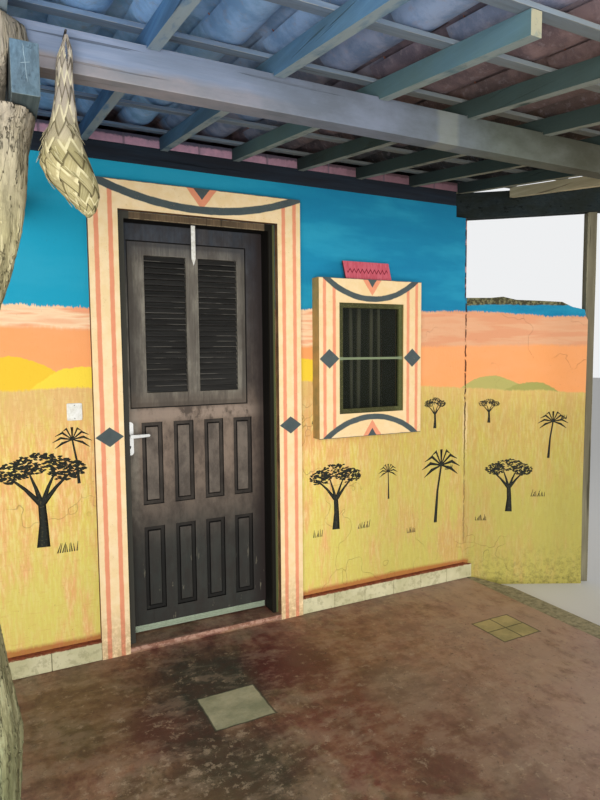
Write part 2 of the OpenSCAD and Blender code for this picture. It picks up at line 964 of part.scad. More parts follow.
// The woven teardrop hangs in front of the beam from a nail; its foot is cut off slantwise
ornament_in = 230;
ornament_gap = 36;
ornament_h = 452;
ornament_x = left_x + ornament_in;
ornament_y = beam_y - ornament_gap;
ornament_z = floor_h + 1870;
ornament_rings = [
    [43, 0, 4], [45, 15, 15], [34, 54, 37], [15, 84, 53], [-12, 124, 62], [-14, 176, 48],
    [-10, 241, 31], [-7, 303, 23], [-6, 367, 19], [1, 424, 9], [2, ornament_h, 4]
];
ornament_flat = 0.8;
nail_r = 3;
nail_out = 14;

module woven_ornament() {
    color("khaki") limb([for (r = ornament_rings)
        [ornament_x + r[0], ornament_y, ornament_z + r[1], r[2], ornament_flat]]);
}

module ornament_nail() {
    color("gray") translate([ornament_x, ornament_y - nail_out, ornament_z + ornament_h + fit + nail_r])
        rotate([-90, 0, 0]) cylinder(r = nail_r, h = nail_out + ornament_gap, $fn = 20);
}

room_floor();
veranda_floor();
floor_edging();
doorstep();
front_wall_left();
front_wall_head();
front_wall_right();
left_wall();
right_wall();
back_wall();
wing_wall();
door_surround();
window_surround();
skirting_left();
skirting_right();
door_frame();
frame_hinges();
door_leaf();
louvre_sash();
door_louvres();
door_panels();
leaf_hinges();
door_handles();
weather_strip();
door_slat();
window_frame();
window_glass();
curtain_rod();
window_curtain();
front_plate();
back_plate();
ridge_beam();
veranda_beam();
tie_beam();
trunk_post();
right_trunk();
corner_beam();
wing_post();
front_rafters();
back_rafters();
verge_rafter();
front_laths();
back_laths();
front_infill();
back_infill();
front_tiles();
back_tiles();
ridge_tiles();
switch_plate();
sign_board();
woven_ornament();
ornament_nail();
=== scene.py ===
import math
import random

import bmesh
import bpy
from mathutils import Matrix, Vector, noise


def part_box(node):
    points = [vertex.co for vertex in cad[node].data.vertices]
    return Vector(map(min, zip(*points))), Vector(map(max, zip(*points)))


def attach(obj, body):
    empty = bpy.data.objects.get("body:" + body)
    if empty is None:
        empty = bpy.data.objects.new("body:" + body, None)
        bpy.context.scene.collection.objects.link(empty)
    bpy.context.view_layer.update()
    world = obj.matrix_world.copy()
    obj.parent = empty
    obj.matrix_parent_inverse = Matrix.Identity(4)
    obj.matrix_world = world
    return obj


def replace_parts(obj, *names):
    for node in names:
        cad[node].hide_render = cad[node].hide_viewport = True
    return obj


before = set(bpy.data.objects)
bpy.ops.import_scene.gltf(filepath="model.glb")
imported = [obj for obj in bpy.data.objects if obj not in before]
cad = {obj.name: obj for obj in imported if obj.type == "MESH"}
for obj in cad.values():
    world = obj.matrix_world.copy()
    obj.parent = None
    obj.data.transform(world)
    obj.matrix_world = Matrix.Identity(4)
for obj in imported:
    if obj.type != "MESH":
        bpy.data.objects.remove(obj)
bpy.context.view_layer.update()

# Camera: the photograph was taken from eye height, in front of the forked trunk at the left end of
# the veranda, turned 27 degrees to the right of the wall's square-on view and tipped 4 degrees down.
def put(name, data):
    """An object for the data, linked to the scene."""
    made = bpy.data.objects.new(name, data)
    bpy.context.scene.collection.objects.link(made)
    return made


eye = Vector((-1.390, -4.790, 1.571))
turn_right, tip_down, roll = math.radians(27.018), math.radians(4.398), math.radians(-0.49)
ahead = Vector((math.sin(turn_right) * math.cos(tip_down),
                math.cos(turn_right) * math.cos(tip_down), -math.sin(tip_down)))
level_right = Vector((math.cos(turn_right), -math.sin(turn_right), 0))
level_up = level_right.cross(ahead)
right = level_right * math.cos(roll) + level_up * math.sin(roll)
up = level_up * math.cos(roll) - level_right * math.sin(roll)
lens = bpy.data.cameras.new("photo_camera")
lens.lens, lens.sensor_width = 27.466, 36
lens.clip_start = 0.05
camera = put("photo_camera", lens)
camera.matrix_world = Matrix((
    (right.x, up.x, -ahead.x, eye.x),
    (right.y, up.y, -ahead.y, eye.y),
    (right.z, up.z, -ahead.z, eye.z),
    (0, 0, 0, 1)))
bpy.context.scene.camera = camera
bpy.context.scene.view_settings.view_transform = "Standard"


# Painted walls: block walls under lime plaster, brushed with bands of house paint. Blue sky lies over
# peach cloud, an orange evening band and a yellow field in upright strokes; the room side is cream.
class Amount:
    """A number that varies over a surface. A sum on it adds its Math nodes to the finish."""

    def __init__(self, tree, socket):
        self.tree, self.socket = tree, socket

    def math(self, operation, *terms, clamp=False):
        made = self.tree.nodes.new("ShaderNodeMath")
        made.operation, made.use_clamp = operation, clamp
        for place, term in zip(made.inputs, terms):
            if isinstance(term, Amount):
                self.tree.links.new(term.socket, place)
            else:
                place.default_value = term
        return Amount(self.tree, made.outputs[0])

    def __add__(self, other):
        return self.math("ADD", self, other)

    def __sub__(self, other):
        return self.math("SUBTRACT", self, other)

    def __rsub__(self, other):
        return self.math("SUBTRACT", other, self)

    def __mul__(self, other):
        return self.math("MULTIPLY", self, other)

    def __truediv__(self, other):
        return self.math("DIVIDE", self, other)

    __radd__, __rmul__ = __add__, __mul__

    def size(self):
        return self.math("ABSOLUTE", self)

    def least(self, other):
        return self.math("MINIMUM", self, other)

    def most(self, other):
        return self.math("MAXIMUM", self, other)

    def root(self):
        return self.math("SQRT", self)

    def over(self, edge, soft=0.002):
        """1 where the amount is over the edge, 0 where it is under, with a soft step between."""
        return self.math("ADD", (self - edge) / soft, 0.5, clamp=True)

    def under(self, edge, soft=0.002):
        return 1 - self.over(edge, soft)

    def between(self, low, high, soft=0.002):
        return self.over(low, soft) * self.under(high, soft)


def shade(code):
    """A colour's hex code, turned into the renderer's linear light."""
    parts = [int(code[i:i + 2], 16) / 255 for i in (0, 2, 4)]
    return tuple(p / 12.92 if p <= 0.04045 else ((p + 0.055) / 1.055) ** 2.4 for p in parts) + (1.0,)


class Finish:
    """A material for one kind of surface, built up from patterns in metres."""

    def __init__(self, name):
        self.material = bpy.data.materials.new(name)
        self.material.use_nodes = True
        self.tree = self.material.node_tree
        self.surface = self.tree.nodes["Principled BSDF"]

    def node(self, kind, settings=(), sockets=()):
        """Adds a node: its settings come first, then the values or links of its sockets."""
        made = self.tree.nodes.new("ShaderNode" + kind)
        for name, value in dict(settings).items():
            setattr(made, name, value)
        for name, value in dict(sockets).items():
            self.join(made.inputs[name], value)
        return made

    def join(self, place, value):
        """Links or sets a socket. A hex code stands for its colour."""
        if isinstance(value, Amount):
            value = value.socket
        if isinstance(value, bpy.types.NodeSocket):
            self.tree.links.new(value, place)
        else:
            place.default_value = shade(value) if isinstance(value, str) else value

    def place(self, stretch=(1, 1, 1), turn=(0, 0, 0), shift=(0, 0, 0)):
        where = self.node("TexCoord").outputs["Object"]
        return self.node("Mapping", sockets={
            "Vector": where, "Scale": stretch, "Rotation": turn, "Location": shift}).outputs[0]

    def axes(self):
        parts = self.node("SeparateXYZ", sockets={"Vector": self.place()}).outputs
        return [Amount(self.tree, part) for part in parts]

    def mark(self, name):
        """A value that the faces of the mesh carry, such as how worn they are."""
        return Amount(self.tree, self.node("Attribute", {"attribute_name": name}).outputs["Fac"])

    def noise(self, size, detail=4.0, rough=0.55, stretch=(1, 1, 1), shift=(0, 0, 0), turn=(0, 0, 0)):
        """Cloudy variation from 0 to 1, whose blotches are about size metres across."""
        made = self.node("TexNoise", sockets={
            "Vector": self.place(stretch, turn, shift), "Scale": 1 / size,
            "Detail": detail, "Roughness": rough})
        return Amount(self.tree, made.outputs["Fac"])

    def cracks(self, size, width):
        """1 along thin branching lines between cells of size metres."""
        bent = self.node("TexNoise", sockets={"Vector": self.place(), "Scale": 3 / size})
        moved = self.node("VectorMath", {"operation": "MULTIPLY_ADD"},
                          {0: bent.outputs["Color"], 1: (size, size, size), 2: self.place()})
        made = self.node("TexVoronoi", {"feature": "DISTANCE_TO_EDGE"},
                         {"Vector": moved.outputs[0], "Scale": 1 / size})
        return Amount(self.tree, made.outputs["Distance"]).under(width / size, width / size)

    def pick(self, factor, one, other):
        """The first colour where the factor is 0, the other where it is 1."""
        made = self.node("Mix", {"data_type": "RGBA"})
        for place, value in zip((0, 6, 7), (factor, one, other)):
            self.join(made.inputs[place], value)
        return made.outputs[2]

    def coats(self, colour, *layers):
        """Lays coats of paint, dirt or wear over a colour, each as strong as its factor."""
        for strength, tone in layers:
            colour = self.pick(strength, colour, tone)
        return colour

    def relief(self, height, depth):
        """Bump from a height of 0 to 1 that stands depth metres high."""
        made = self.node("Bump", sockets={"Height": height, "Distance": depth, "Strength": 1.0})
        self.join(self.surface.inputs["Normal"], made.outputs[0])
        return self

    def dress(self, colour, roughness, **fixed):
        """Colour and roughness of the surface; dusty matt paint and wood hardly mirror anything."""
        self.join(self.surface.inputs["Base Color"], colour)
        self.join(self.surface.inputs["Roughness"], roughness)
        for name, value in {"Specular_IOR_Level": 0.12, **fixed}.items():
            self.surface.inputs[name.replace("_", " ")].default_value = value


def paint_nodes(finish, *names):
    """Puts a finish on solids of the frame that already have the right shape."""
    for name in names:
        cad[name].data.materials.clear()
        cad[name].data.materials.append(finish.material)


corner_x, front_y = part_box("front_wall_right")[1].x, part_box("front_wall_right")[0].y
wall = Finish("wall_paint")
x, y, z = wall.axes()
brush_edge = wall.noise(0.30, 3) * 0.05 + wall.noise(0.03, 4, stretch=(2.5, 1, 0.4)) * 0.02
level = z + brush_edge - 0.035
broad = wall.noise(0.060, 5, 0.6, (1, 1, 0.20))
fine = wall.noise(0.013, 5, 0.7, (1, 1, 0.14), (5, 2, 1))
tufts = wall.noise(0.020, 4, 0.7, (1, 1, 0.30), (8, 2, 6), (0, 0.35, 0))
crossways = wall.noise(0.006, 3, 0.6, (0.12, 0.12, 1), (2, 2, 2))
patches = wall.noise(0.42, 4, 0.5, shift=(3, 1, 7))
hem = (z + patches * 0.05 + fine * 0.03).under(0.222, 0.02) * x.under(1.44, 0.01)
field = wall.coats(
    "E6D066",
    ((broad * 0.6 + patches * 0.4).over(0.49, 0.14), "EBB678"),
    (fine.over(0.53, 0.06) * 0.55, "DCA65C"),
    (tufts.over(0.55, 0.06) * 0.45, "EFA878"),
    (fine.under(0.45, 0.06) * 0.6, "F2DC98"),
    (level.under(0.78, 0.6) * (patches * 0.4 + broad * 0.6).under(0.55, 0.14) * 0.7, "DBD06E"),
    (level.over(1.20, 0.30) * (0.3 + fine * 0.7), "DDB876"),
    (crossways.over(0.62, 0.06) * 0.18, "C98F4E"),
    (x.over(0.50, 0.6) * (0.25 + tufts * 0.5) * level.under(1.3, 0.3), "A8A050"),
    (x.over(corner_x + 0.002) * level.under(0.9, 0.7) * 0.35, "A09650"),
    (hem * 0.8, "A8592F"))
evening = wall.pick(wall.noise(0.30, 4, stretch=(1, 1, 2)), "F6A25C", "F9AE7A")
dune_z, cloud_z, sky_z = 1.4215, 1.606, 1.832
above = level + x.most(0.1) * 0.060 - dune_z
past_corner = (y - front_y).most(0)
for middle, reach, rise, tone in ((-1.32, 0.30, 0.15, "F2C63C"), (-0.98, 0.24, 0.10, "F6D648"),
                                  (0.22, 0.22, 0.13, "F4D040"), (1.58, 0.20, 0.085, "B8B068"),
                                  (1.80, 0.16, 0.055, "A8A45C")):
    off = (x - past_corner - middle) / reach
    evening = wall.pick((above - (1 - off * off) * rise).under(0, 0.006), evening, tone)
cloud_streak = wall.noise(0.15, 4, 0.55, (0.24, 0.24, 2.0), (1, 4, 2))
cloud = wall.coats(
    "F0A67C",
    (cloud_streak.over(0.47, 0.08), "FAD6AC"),
    (cloud_streak.over(0.57, 0.10) * 0.8, "F2B48A"),
    (x.over(0.6, 0.8) * 0.75, "DE9E76"))
sky_sweep = wall.noise(0.22, 4, 0.55, (0.30, 0.30, 1.1), (6, 1, 3))
sky = wall.coats(
    "229FBE",
    (x.over(-0.1, 1.3), "1F88AC"),
    (sky_sweep.over(0.53, 0.20) * x.over(-0.2, 1.2) * 0.55, "18749E"),
    (sky_sweep.under(0.44, 0.16) * 0.4, "38A8C4"))
bristles = wall.noise(0.0035, 2, 0.5, (1, 1, 0.04)) * 0.035
skyline = level + bristles - x.least(corner_x) * 0.012 + (x.most(corner_x) - corner_x) * 0.06
in_sky = skyline.over(sky_z, 0.006)
chips = (wall.noise(0.012, 3) * 0.5 + patches * 0.5).over(0.61, 0.05) * level.under(1.30, 0.1)
specks = wall.noise(0.007, 3, 0.6, shift=(7, 7, 2)).over(0.72, 0.02)
mould = (wall.noise(0.028, 6, 0.8).over(0.54, 0.14) * (z + patches * 0.2).under(0.24, 0.30)
         * x.over(1.40, 0.02))
hairline = wall.cracks(0.55, 0.0012) * wall.noise(0.7, 2).over(0.55, 0.05) * (1 - in_sky)
wobble = (wall.noise(0.05, 4, 0.7) - 0.5) * 0.020
outside = y.under(front_y + 0.001, 0.001)
split = (x - corner_x - wobble).size().under(0.0045, 0.002) * z.between(0.30, 1.90, 0.05)
broken = wall.noise(0.045, 4, 0.6, shift=(9, 4, 4)).over(0.44, 0.04)
flake = (x - corner_x - wobble).size().under(0.016, 0.004) * z.between(0.9, 1.25, 0.2) * broken * outside
bare_edge = (x - corner_x + 0.011 - wobble).over(0, 0.003) * z.over(1.92, 0.03) * x.under(corner_x + 0.001)
wing_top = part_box("wing_wall")[1].z
dirty_top = (z + wobble * 1.2 + patches * 0.03).over(wing_top - 0.040, 0.008) * x.over(corner_x + 0.004)
crust = wall.pick(wall.noise(0.02, 5, 0.7).over(0.48, 0.1), "7C7A58", "43402E")
opening_low, opening_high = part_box("window_frame")
wall_t, room_half_w, room_half_d = 0.1485, 1.2602, 1.5502
reveal = (x.between(opening_low.x - 0.02, opening_high.x + 0.02)
          * z.between(opening_low.z - 0.02, opening_high.z + 0.02)
          * y.over(front_y + 0.002, 0.001) * y.under(front_y + wall_t, 0.0005))
in_room = x.size().under(room_half_w, 0.0002) * y.size().under(room_half_d, 0.0002)
lime = wall.pick(patches, "D8CFBA", "C9BFA8")
paint = wall.coats(
    field,
    (above.over(0, 0.012), evening),
    ((level - x.under(-0.3, 0.9) * 0.092).over(cloud_z, 0.02), cloud),
    (in_sky, sky),
    (chips * 0.25, "C89A6E"),
    (specks * 0.7, "4A3A2A"),
    (mould * 0.65, "5E5E34"),
    (hairline * 0.3, "5A4636"),
    (split * broken * outside * (0.35 + z.over(1.0, 0.5) * 0.55), "3A1E1A"),
    (flake * (1 - split) * 0.6, "EBD2A0"),
    (bare_edge * outside, wall.pick(broken, "C08C80", "3E2C2C")),
    (dirty_top * y.under(front_y + 0.002), crust),
    (reveal, wall.pick(patches, "46452A", "383820")),
    (in_room, lime))
wall.dress(paint, 0.72 + fine * 0.2)
wall.relief(wall.noise(0.05, 5, 0.6) * 0.6 + fine * 0.3 - hairline * 0.5 - split * broken * 0.8, 0.004)
paint_nodes(wall, "front_wall_left", "front_wall_head", "front_wall_right", "left_wall", "right_wall",
            "back_wall", "wing_wall")


# Wall picture: the dark part of a plain evening landscape, in dabs of paint brushed on the wall. It has
# round-headed trees, fan-leaved trees and grass tufts of no particular place.
def settled(rough):
    """The mesh of a rough object with its modifiers worked out; the object is taken away."""
    mesh = bpy.data.meshes.new_from_object(rough.evaluated_get(bpy.context.evaluated_depsgraph_get()))
    bpy.data.objects.remove(rough)
    return mesh


class Brushwork:
    """Strokes of thick paint on a wall's face, kept as (distance along the wall, height)."""

    def __init__(self):
        self.curve = bpy.data.curves.new("strokes", "CURVE")
        self.curve.dimensions = "3D"
        self.curve.bevel_depth, self.curve.bevel_resolution = 1.0, 0
        self.curve.use_fill_caps = True

    def stroke(self, points, widths):
        line = self.curve.splines.new("POLY")
        line.points.add(len(points) - 1)
        for spot, (along, height), width in zip(line.points, points, widths):
            spot.co, spot.radius = (along, 0, height, 1), width / 2

    def dab(self, along, height, length, turn, width):
        reach = Vector((math.cos(turn), math.sin(turn))) * length / 2
        middle = Vector((along, height))
        self.stroke([middle - reach, middle, middle + reach], [width * 0.2, width, width * 0.35])

    def limb(self, along, foot, tall, points, widths):
        """A stroke in shares of the plant's height, from its foot."""
        self.stroke([(along + side * tall, foot + up * tall) for side, up in points],
                    [width * tall for width in widths])

    def crown(self, along, height, wide, high, chance):
        for _ in range(120):
            turn, out = chance.uniform(0, 2 * math.pi), math.sqrt(chance.random())
            self.dab(along + wide * out * math.cos(turn), height + high * out * math.sin(turn),
                     chance.uniform(0.3, 0.55) * high, chance.uniform(-0.5, 0.5), 0.22 * high)

    def round_tree(self, along, foot, tall, chance):
        """A stout trunk that parts into boughs under a heaped crown."""
        self.limb(along, foot, tall, ((0, 0), (0.01, 0.25), (0, 0.46)), (0.13, 0.085, 0.075))
        for side in (-0.30, -0.10, 0.13, 0.29):
            self.limb(along, foot, tall, ((0, 0.44), (side / 2, 0.62), (side, 0.76)), (0.06, 0.035, 0.018))
        for side, up, wide in ((-0.26, 0.80, 0.17), (0.25, 0.79, 0.18), (0.0, 0.88, 0.24)):
            self.crown(along + side * tall, foot + up * tall, wide * tall, 0.11 * tall, chance)

    def fan_tree(self, along, foot, tall, chance):
        """A slim leaning stem with a head of arching leaves."""
        lean = chance.uniform(-0.12, 0.12)
        self.limb(along, foot, tall, ((0, 0), (lean * 0.35, 0.4), (lean, 0.72)), (0.05, 0.032, 0.028))
        for i in range(9):
            turn = math.radians(-28 + i * 29.5)
            out, up = math.cos(turn), math.sin(turn)
            self.limb(along + lean * tall, foot + 0.72 * tall, tall,
                      ((0, 0), (0.17 * out, 0.17 * up + 0.03), (0.30 * out, 0.20 * up - 0.04)),
                      (0.016, 0.040, 0.006))

    def tuft(self, along, foot, tall, blades, chance):
        for i in range(blades):
            base = along + (i - blades / 2) * tall * 0.22
            tip = base + chance.uniform(-0.1, 0.35) * tall
            self.stroke([(base, foot), (tip, foot + tall * chance.uniform(0.6, 1.0))], [0.006, 0.002])

    def onto(self, name, turn, start):
        """Flattens the strokes to a film of paint and lays them on a wall's face."""
        mesh = settled(put(name + "_rough", self.curve))
        mesh.name = name
        mesh.transform(Matrix.Translation(start) @ Matrix.Rotation(turn, 4, "Z")
                       @ Matrix.Diagonal((1, 0.03, 1, 1)))
        return put(name, mesh)


motif = Finish("motif_paint")
motif_wear = motif.noise(0.010, 4, 0.7)
motif.dress(motif.pick(motif_wear.over(0.60, 0.08) * 0.55, "2A2D28", "6E6440"), 0.6 + motif_wear * 0.3)
chance = random.Random(11)
round_tree, fan_tree = Brushwork.round_tree, Brushwork.fan_tree
for name, turn, start, trees, tufts in (
        ("front_picture", 0, (0, front_y, 0),
         ((round_tree, -1.19, 0.66, 0.46), (fan_tree, -1.02, 0.95, 0.30), (fan_tree, 1.17, 0.46, 0.52),
          (round_tree, 0.42, 0.52, 0.40), (round_tree, 1.16, 1.08, 0.20), (fan_tree, 0.80, 0.66, 0.24)),
         ((-1.08, 0.62, 0.05, 9), (0.62, 0.50, 0.05, 8), (0.98, 0.42, 0.045, 7),
          (0.30, 0.49, 0.05, 6), (1.28, 0.80, 0.035, 8), (0.28, 1.16, 0.03, 5))),
        ("wing_picture", math.radians(-27), (corner_x, front_y, 0),
         ((round_tree, 0.30, 0.50, 0.36), (fan_tree, 0.56, 0.86, 0.34), (round_tree, 0.16, 1.10, 0.16)),
         ((0.12, 0.44, 0.045, 8), (0.50, 0.60, 0.05, 9), (0.66, 1.12, 0.03, 6)))):
    picture = Brushwork()
    for grow, along, foot, tall in trees:
        grow(picture, along, foot, tall, chance)
    for along, foot, tall, blades in tufts:
        picture.tuft(along, foot, tall, blades, chance)
    piece = picture.onto(name, turn, Vector(start))
    piece.data.materials.append(motif.material)
    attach(piece, "house")


# Painted borders: a raised band of plaster round the doorway and the window, painted cream. The
# painter added salmon stripes, a dark diamond on each side, and a dark arc and chevron at the ends.
for name, node, opening, ends, arc_in, arc_drop, arc_w, outer, inner, diamond_z, diamond_h, sides in (
        ("door_border_paint", "door_surround", "door_frame", 1, 0.016, 0.108, 0.038,
         (0.083, 0.105), (0.046, 0.056), 1.170, 0.100, ("5A4130", "8A6748")),
        ("window_border_paint", "window_surround", "window_frame", 2, 0.045, 0.113, 0.033,
         (0.066, 0.095), (0.032, 0.046), None, 0.115, ("968654", "BC985C"))):
    low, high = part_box(node)
    centre, half = (low + high) / 2, (high.x - low.x) / 2
    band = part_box(opening)[0].x - low.x
    finish = Finish(name)
    x, y, z = finish.axes()
    shaky = (finish.noise(0.05, 3) - 0.5) * 0.006
    across = (x - centre.x).size() + shaky
    from_edge = (half - across) / band
    blot = finish.noise(0.06, 5, 0.6)
    # Painted shade: the cream darkens towards the right, most on the window's border.
    cream = finish.coats("F9DFB2", (blot.over(0.48, 0.2), "F4D6A2"), (x.over(0.1, 1.0) * 0.4, "E2C08A"))
    salmon = finish.pick(blot, "F0A47E", "E08A66")
    dark = finish.pick(blot, "3F4A4C", "5A6462")
    stripes = from_edge.between(0.19, 0.345, 0.02).most(from_edge.between(0.665, 0.82, 0.02))
    paint = finish.pick(stripes, cream, salmon)
    reach = half - arc_in
    radius = (reach * reach + arc_drop * arc_drop) / (2 * arc_drop)
    for end, way in ((high.z, -1), (low.z, 1))[:ends]:
        down = (z - end) * way + shaky
        sag = down - (arc_drop - radius)
        out = (across * across + sag * sag).root()
        near = down.under(0.20, 0.001)
        arc = near * out.between(radius - arc_w / 2, radius + arc_w / 2, 0.003)
        paint = finish.coats(
            paint,
            (near * out.under(radius, 0.003), cream),
            ((across / outer[0] + down / outer[1]).under(1, 0.03), salmon),
            ((across / inner[0] + down / inner[1]).under(1, 0.03), dark),
            (arc.most(down.under(0.003)), dark))
    off = ((across - (half - band / 2)).size() / (band / 2)
           + (z - (diamond_z or centre.z)).size() / (diamond_h / 2))
    # The side faces are darker than the fronts: dark brown at the doorway, and at the window a darker olive
    # ochre, the wall's ochre with painted shade.
    side = finish.pick(finish.noise(0.09, 5, 0.6).over(0.5, 0.3), *sides)
    chips = finish.noise(0.008, 4, 0.7).over(0.66, 0.02) * finish.noise(0.2, 2).over(0.5, 0.1)
    grime = z.under(0.20, 0.25) * finish.noise(0.03, 5, 0.7).over(0.45, 0.2)
    paint = finish.coats(
        paint,
        (off.under(0.97, 0.04), dark),
        (y.over(low.y + 0.0015, 0.001), side),
        (chips * 0.6, "B08F66"),
        (grime * 0.5, "8C6A4E"))
    finish.dress(paint, 0.66 + blot * 0.2)
    finish.relief(finish.noise(0.02, 5, 0.6) - chips * 0.6, 0.0015)
    paint_nodes(finish, node)


# Skirting: a row of off-white glazed tiles about 200 mm long along the foot of the wall, bedded in
# grey mortar. Some have lost their glaze at the corners, and mud has splashed up on them.
def meshed(name, shape):
    """The mesh of a finished bmesh."""
    mesh = bpy.data.meshes.new(name)
    shape.to_mesh(mesh)
    shape.free()
    return mesh


def whole(shape):
    return shape.verts[:] + shape.edges[:] + shape.faces[:]


def fresh(name, shape, finish, body="house"):
    """A new piece from a finished bmesh, with its finish and body."""
    mesh = meshed(name, shape)
    mesh.materials.append(finish.material)
    piece = put(name, mesh)
    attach(piece, body)
    return piece


def add_box(shape, low, high):
    made = bmesh.ops.create_cube(shape, size=1)["verts"]
    low, high = Vector(low), Vector(high)
    bmesh.ops.scale(shape, vec=high - low, verts=made)
    bmesh.ops.translate(shape, vec=(low + high) / 2, verts=made)


def ease(shape, width, segments=1, sharp=35):
    """Eases the sharp edges and marks the new faces as worn."""
    worn = shape.faces.layers.float.get("worn") or shape.faces.layers.float.new("worn")
    chosen = [edge for edge in shape.edges
              if len(edge.link_faces) == 2 and edge.calc_face_angle() > math.radians(sharp)]
    made = bmesh.ops.bevel(shape, geom=chosen, offset=width, offset_type="OFFSET", affect="EDGES",
                           segments=segments, profile=0.5, material=-1, clamp_overlap=True)
    for face in made["faces"]:
        face[worn] = 1.0


glaze = Finish("glazed_tile")
x, y, z = glaze.axes()
tile_mud = glaze.noise(0.035, 5, 0.7).over(0.56, 0.10)
mortar_top = (z + (glaze.noise(0.03, 4, 0.7) - 0.5) * 0.014).over(0.150, 0.003)
worn_glaze = glaze.coats(
    "D2CCA6",
    (glaze.noise(0.12, 4).over(0.5, 0.3), "BDB88E"),
    (tile_mud * 0.5, "96906A"),
    (mortar_top, glaze.pick(tile_mud, "8C4E36", "6A3A2A")))
glaze.dress(worn_glaze, 0.30 + tile_mud * 0.4 + mortar_top * 0.3, Specular_IOR_Level=0.35)
glaze.relief(glaze.noise(0.05, 3), 0.0006)
mortar = Finish("mortar")
x, y, z = mortar.axes()
red_mortar = z.over(0.149, 0.004)
bed_tone = mortar.pick(red_mortar, mortar.pick(mortar.noise(0.02, 5, 0.7), "7C7660", "565240"),
                       mortar.pick(mortar.noise(0.02, 5, 0.7).over(0.5, 0.2), "96553A", "6E3C2A"))
mortar.dress(bed_tone, 0.9)
mortar.relief(mortar.noise(0.006, 4), 0.001)
tile_l, tile_t, bed_in, half_joint = 0.203, 0.012, 0.010, 0.0015
for name in ("skirting_left", "skirting_right"):
    low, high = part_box(name)
    bed = bmesh.new()
    add_box(bed, (low.x, low.y + bed_in, low.z), (min(high.x, corner_x), high.y, high.z - 0.0005))
    fresh(name + "_bed", bed, mortar)
    tiles = bmesh.new()
    count = max(1, round((high.x - low.x) / tile_l))
    step = (high.x - low.x) / count
    for i in range(count):
        add_box(tiles, (low.x + i * step + half_joint, low.y, low.z + 0.002),
                (low.x + (i + 1) * step - half_joint, low.y + tile_t, high.z - 0.003))
    ease(tiles, 0.0015)
    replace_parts(fresh(name + "_tiles", tiles, glaze), name)


# Veranda floor: a slab of cement finished with red oxide and polished by feet. It has worn to grey
# and olive in patches, and dust, splashes and old spills have dried on it.
def slab_lines(finish, low, high, columns, rows, width):
    """The area of a flush cover of cement slabs in the floor, and the dark joints round its slabs."""
    x, y, z = finish.axes()
    wander = (finish.noise(0.08, 4, 0.6) - 0.5) * 0.016
    across, along = (x - low[0] + wander) / (high[0] - low[0]), (y - low[1] + wander) / (high[1] - low[1])
    area = across.between(0, 1, 0.02) * along.between(0, 1, 0.02)
    joints = (across * columns).math("PINGPONG", across * columns, 0.5).under(width * columns, 0.01)
    joints = joints.most((along * rows).math("PINGPONG", along * rows, 0.5).under(width * rows, 0.01))
    return area, joints * across.between(-0.02, 1.02, 0.02) * along.between(-0.02, 1.02, 0.02)


cement = Finish("red_cement")
x, y, z = cement.axes()
wide_stain = cement.noise(0.55, 5, 0.6, shift=(2, 5, 0))
stain = cement.noise(0.26, 6, 0.68, (1, 0.7, 1), (8, 1, 0), (0, 0, 0.6))
cloudy = cement.noise(0.16, 6, 0.7, (0.8, 1, 1), (4, 9, 0), (0, 0, -0.5))
blotch = cement.noise(0.075, 6, 0.72, (1, 0.55, 1), (6, 2, 0), (0, 0, 0.7))
fleck = cement.noise(0.035, 6, 0.75)
colour = cement.coats(
    "94604A",
    (wide_stain.over(0.49, 0.16), "7E4438"),
    (cloudy.over(0.51, 0.20) * 0.65, "8A6A4C"),
    (stain.over(0.53, 0.12) * 0.75, "605840"),
    (cloudy.under(0.45, 0.10) * 0.7, "6E3430"),
    (stain.under(0.43, 0.16) * 0.5, "A48C70"),
    (blotch.over(0.54, 0.16) * 0.45, "A08468"),
    (blotch.under(0.45, 0.14) * 0.5, "50342A"))
drift = (stain - 0.5) * 1.1 + (cloudy - 0.5) * 0.9 + (blotch - 0.5) * 0.5
for across, out, reach, share, tone in (
        (0.45, -2.35, 0.50, 0.40, "7C4E42"), (0.62, -3.10, 0.50, 0.25, "84705A"),
        (-0.02, -2.80, 0.34, 0.55, "683630"), (0.24, -2.62, 0.16, 0.55, "8A7A66"),
        (0.30, -3.35, 0.40, 0.45, "5A4234"), (-1.05, -2.15, 0.30, 0.60, "5E5034"),
        (-0.78, -2.42, 0.17, 0.70, "4C2422"), (-0.64, -2.84, 0.26, 0.80, "34382C"),
        (-0.52, -2.16, 0.26, 0.90, "323A30"), (-0.14, -2.20, 0.20, 0.85, "541F22"),
        (-0.88, -2.98, 0.22, 0.60, "6E5A40")):
    away = ((x - across) * (x - across) + (y - out) * (y - out) * 0.7).root()
    near = (away + drift * reach).under(reach, reach * 0.7)
    colour = cement.pick(near * share, colour, tone)
scuffed = cement.noise(0.11, 6, 0.7, (0.55, 1, 1), (1, 7, 0), (0, 0, 0.5))
splashed = ((x + 0.66).size() + (y + 2.70).size()).under(0.45, 0.6) * 0.03
splash = (fleck + splashed).over(0.60, 0.05) * (cloudy + splashed).over(0.46, 0.10)
pits = cement.noise(0.016, 4, 0.7, shift=(3, 3, 0)).over(0.64, 0.04)
colour = cement.coats(
    colour,
    (scuffed.under(0.46, 0.10) * 0.4, "4E3229"),
    (scuffed.over(0.55, 0.10) * 0.35, "A08A74"),
    ((x - y * 0.25).over(1.25, 0.9) * (stain * 0.5 + blotch * 0.5).over(0.43, 0.16) * 0.7, "AE9280"),
    (splash * 0.42, "B8A488"),
    (pits * 0.45, "33241E"))
for low, high, columns, rows, slab in (((0.948, -2.530), (1.208, -2.288), 2, 2, ("B0A070", "948A60")),
                                       ((-0.638, -2.545), (-0.370, -2.292), 1, 1, ("B0AC8C", "8C8E70"))):
    area, joints = slab_lines(cement, low, high, columns, rows, 0.018)
    colour = cement.coats(
        colour,
        (area, cement.pick(cloudy.over(0.5, 0.2), *slab)),
        (joints * 0.75, "33342A"))
lip = y.under(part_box("doorstep")[0].y + 0.012, 0.006) * z.over(0.070, 0.010)
colour = cement.pick(lip * 0.8, colour, cement.pick(fleck.over(0.5, 0.1), "C09884", "8E6450"))
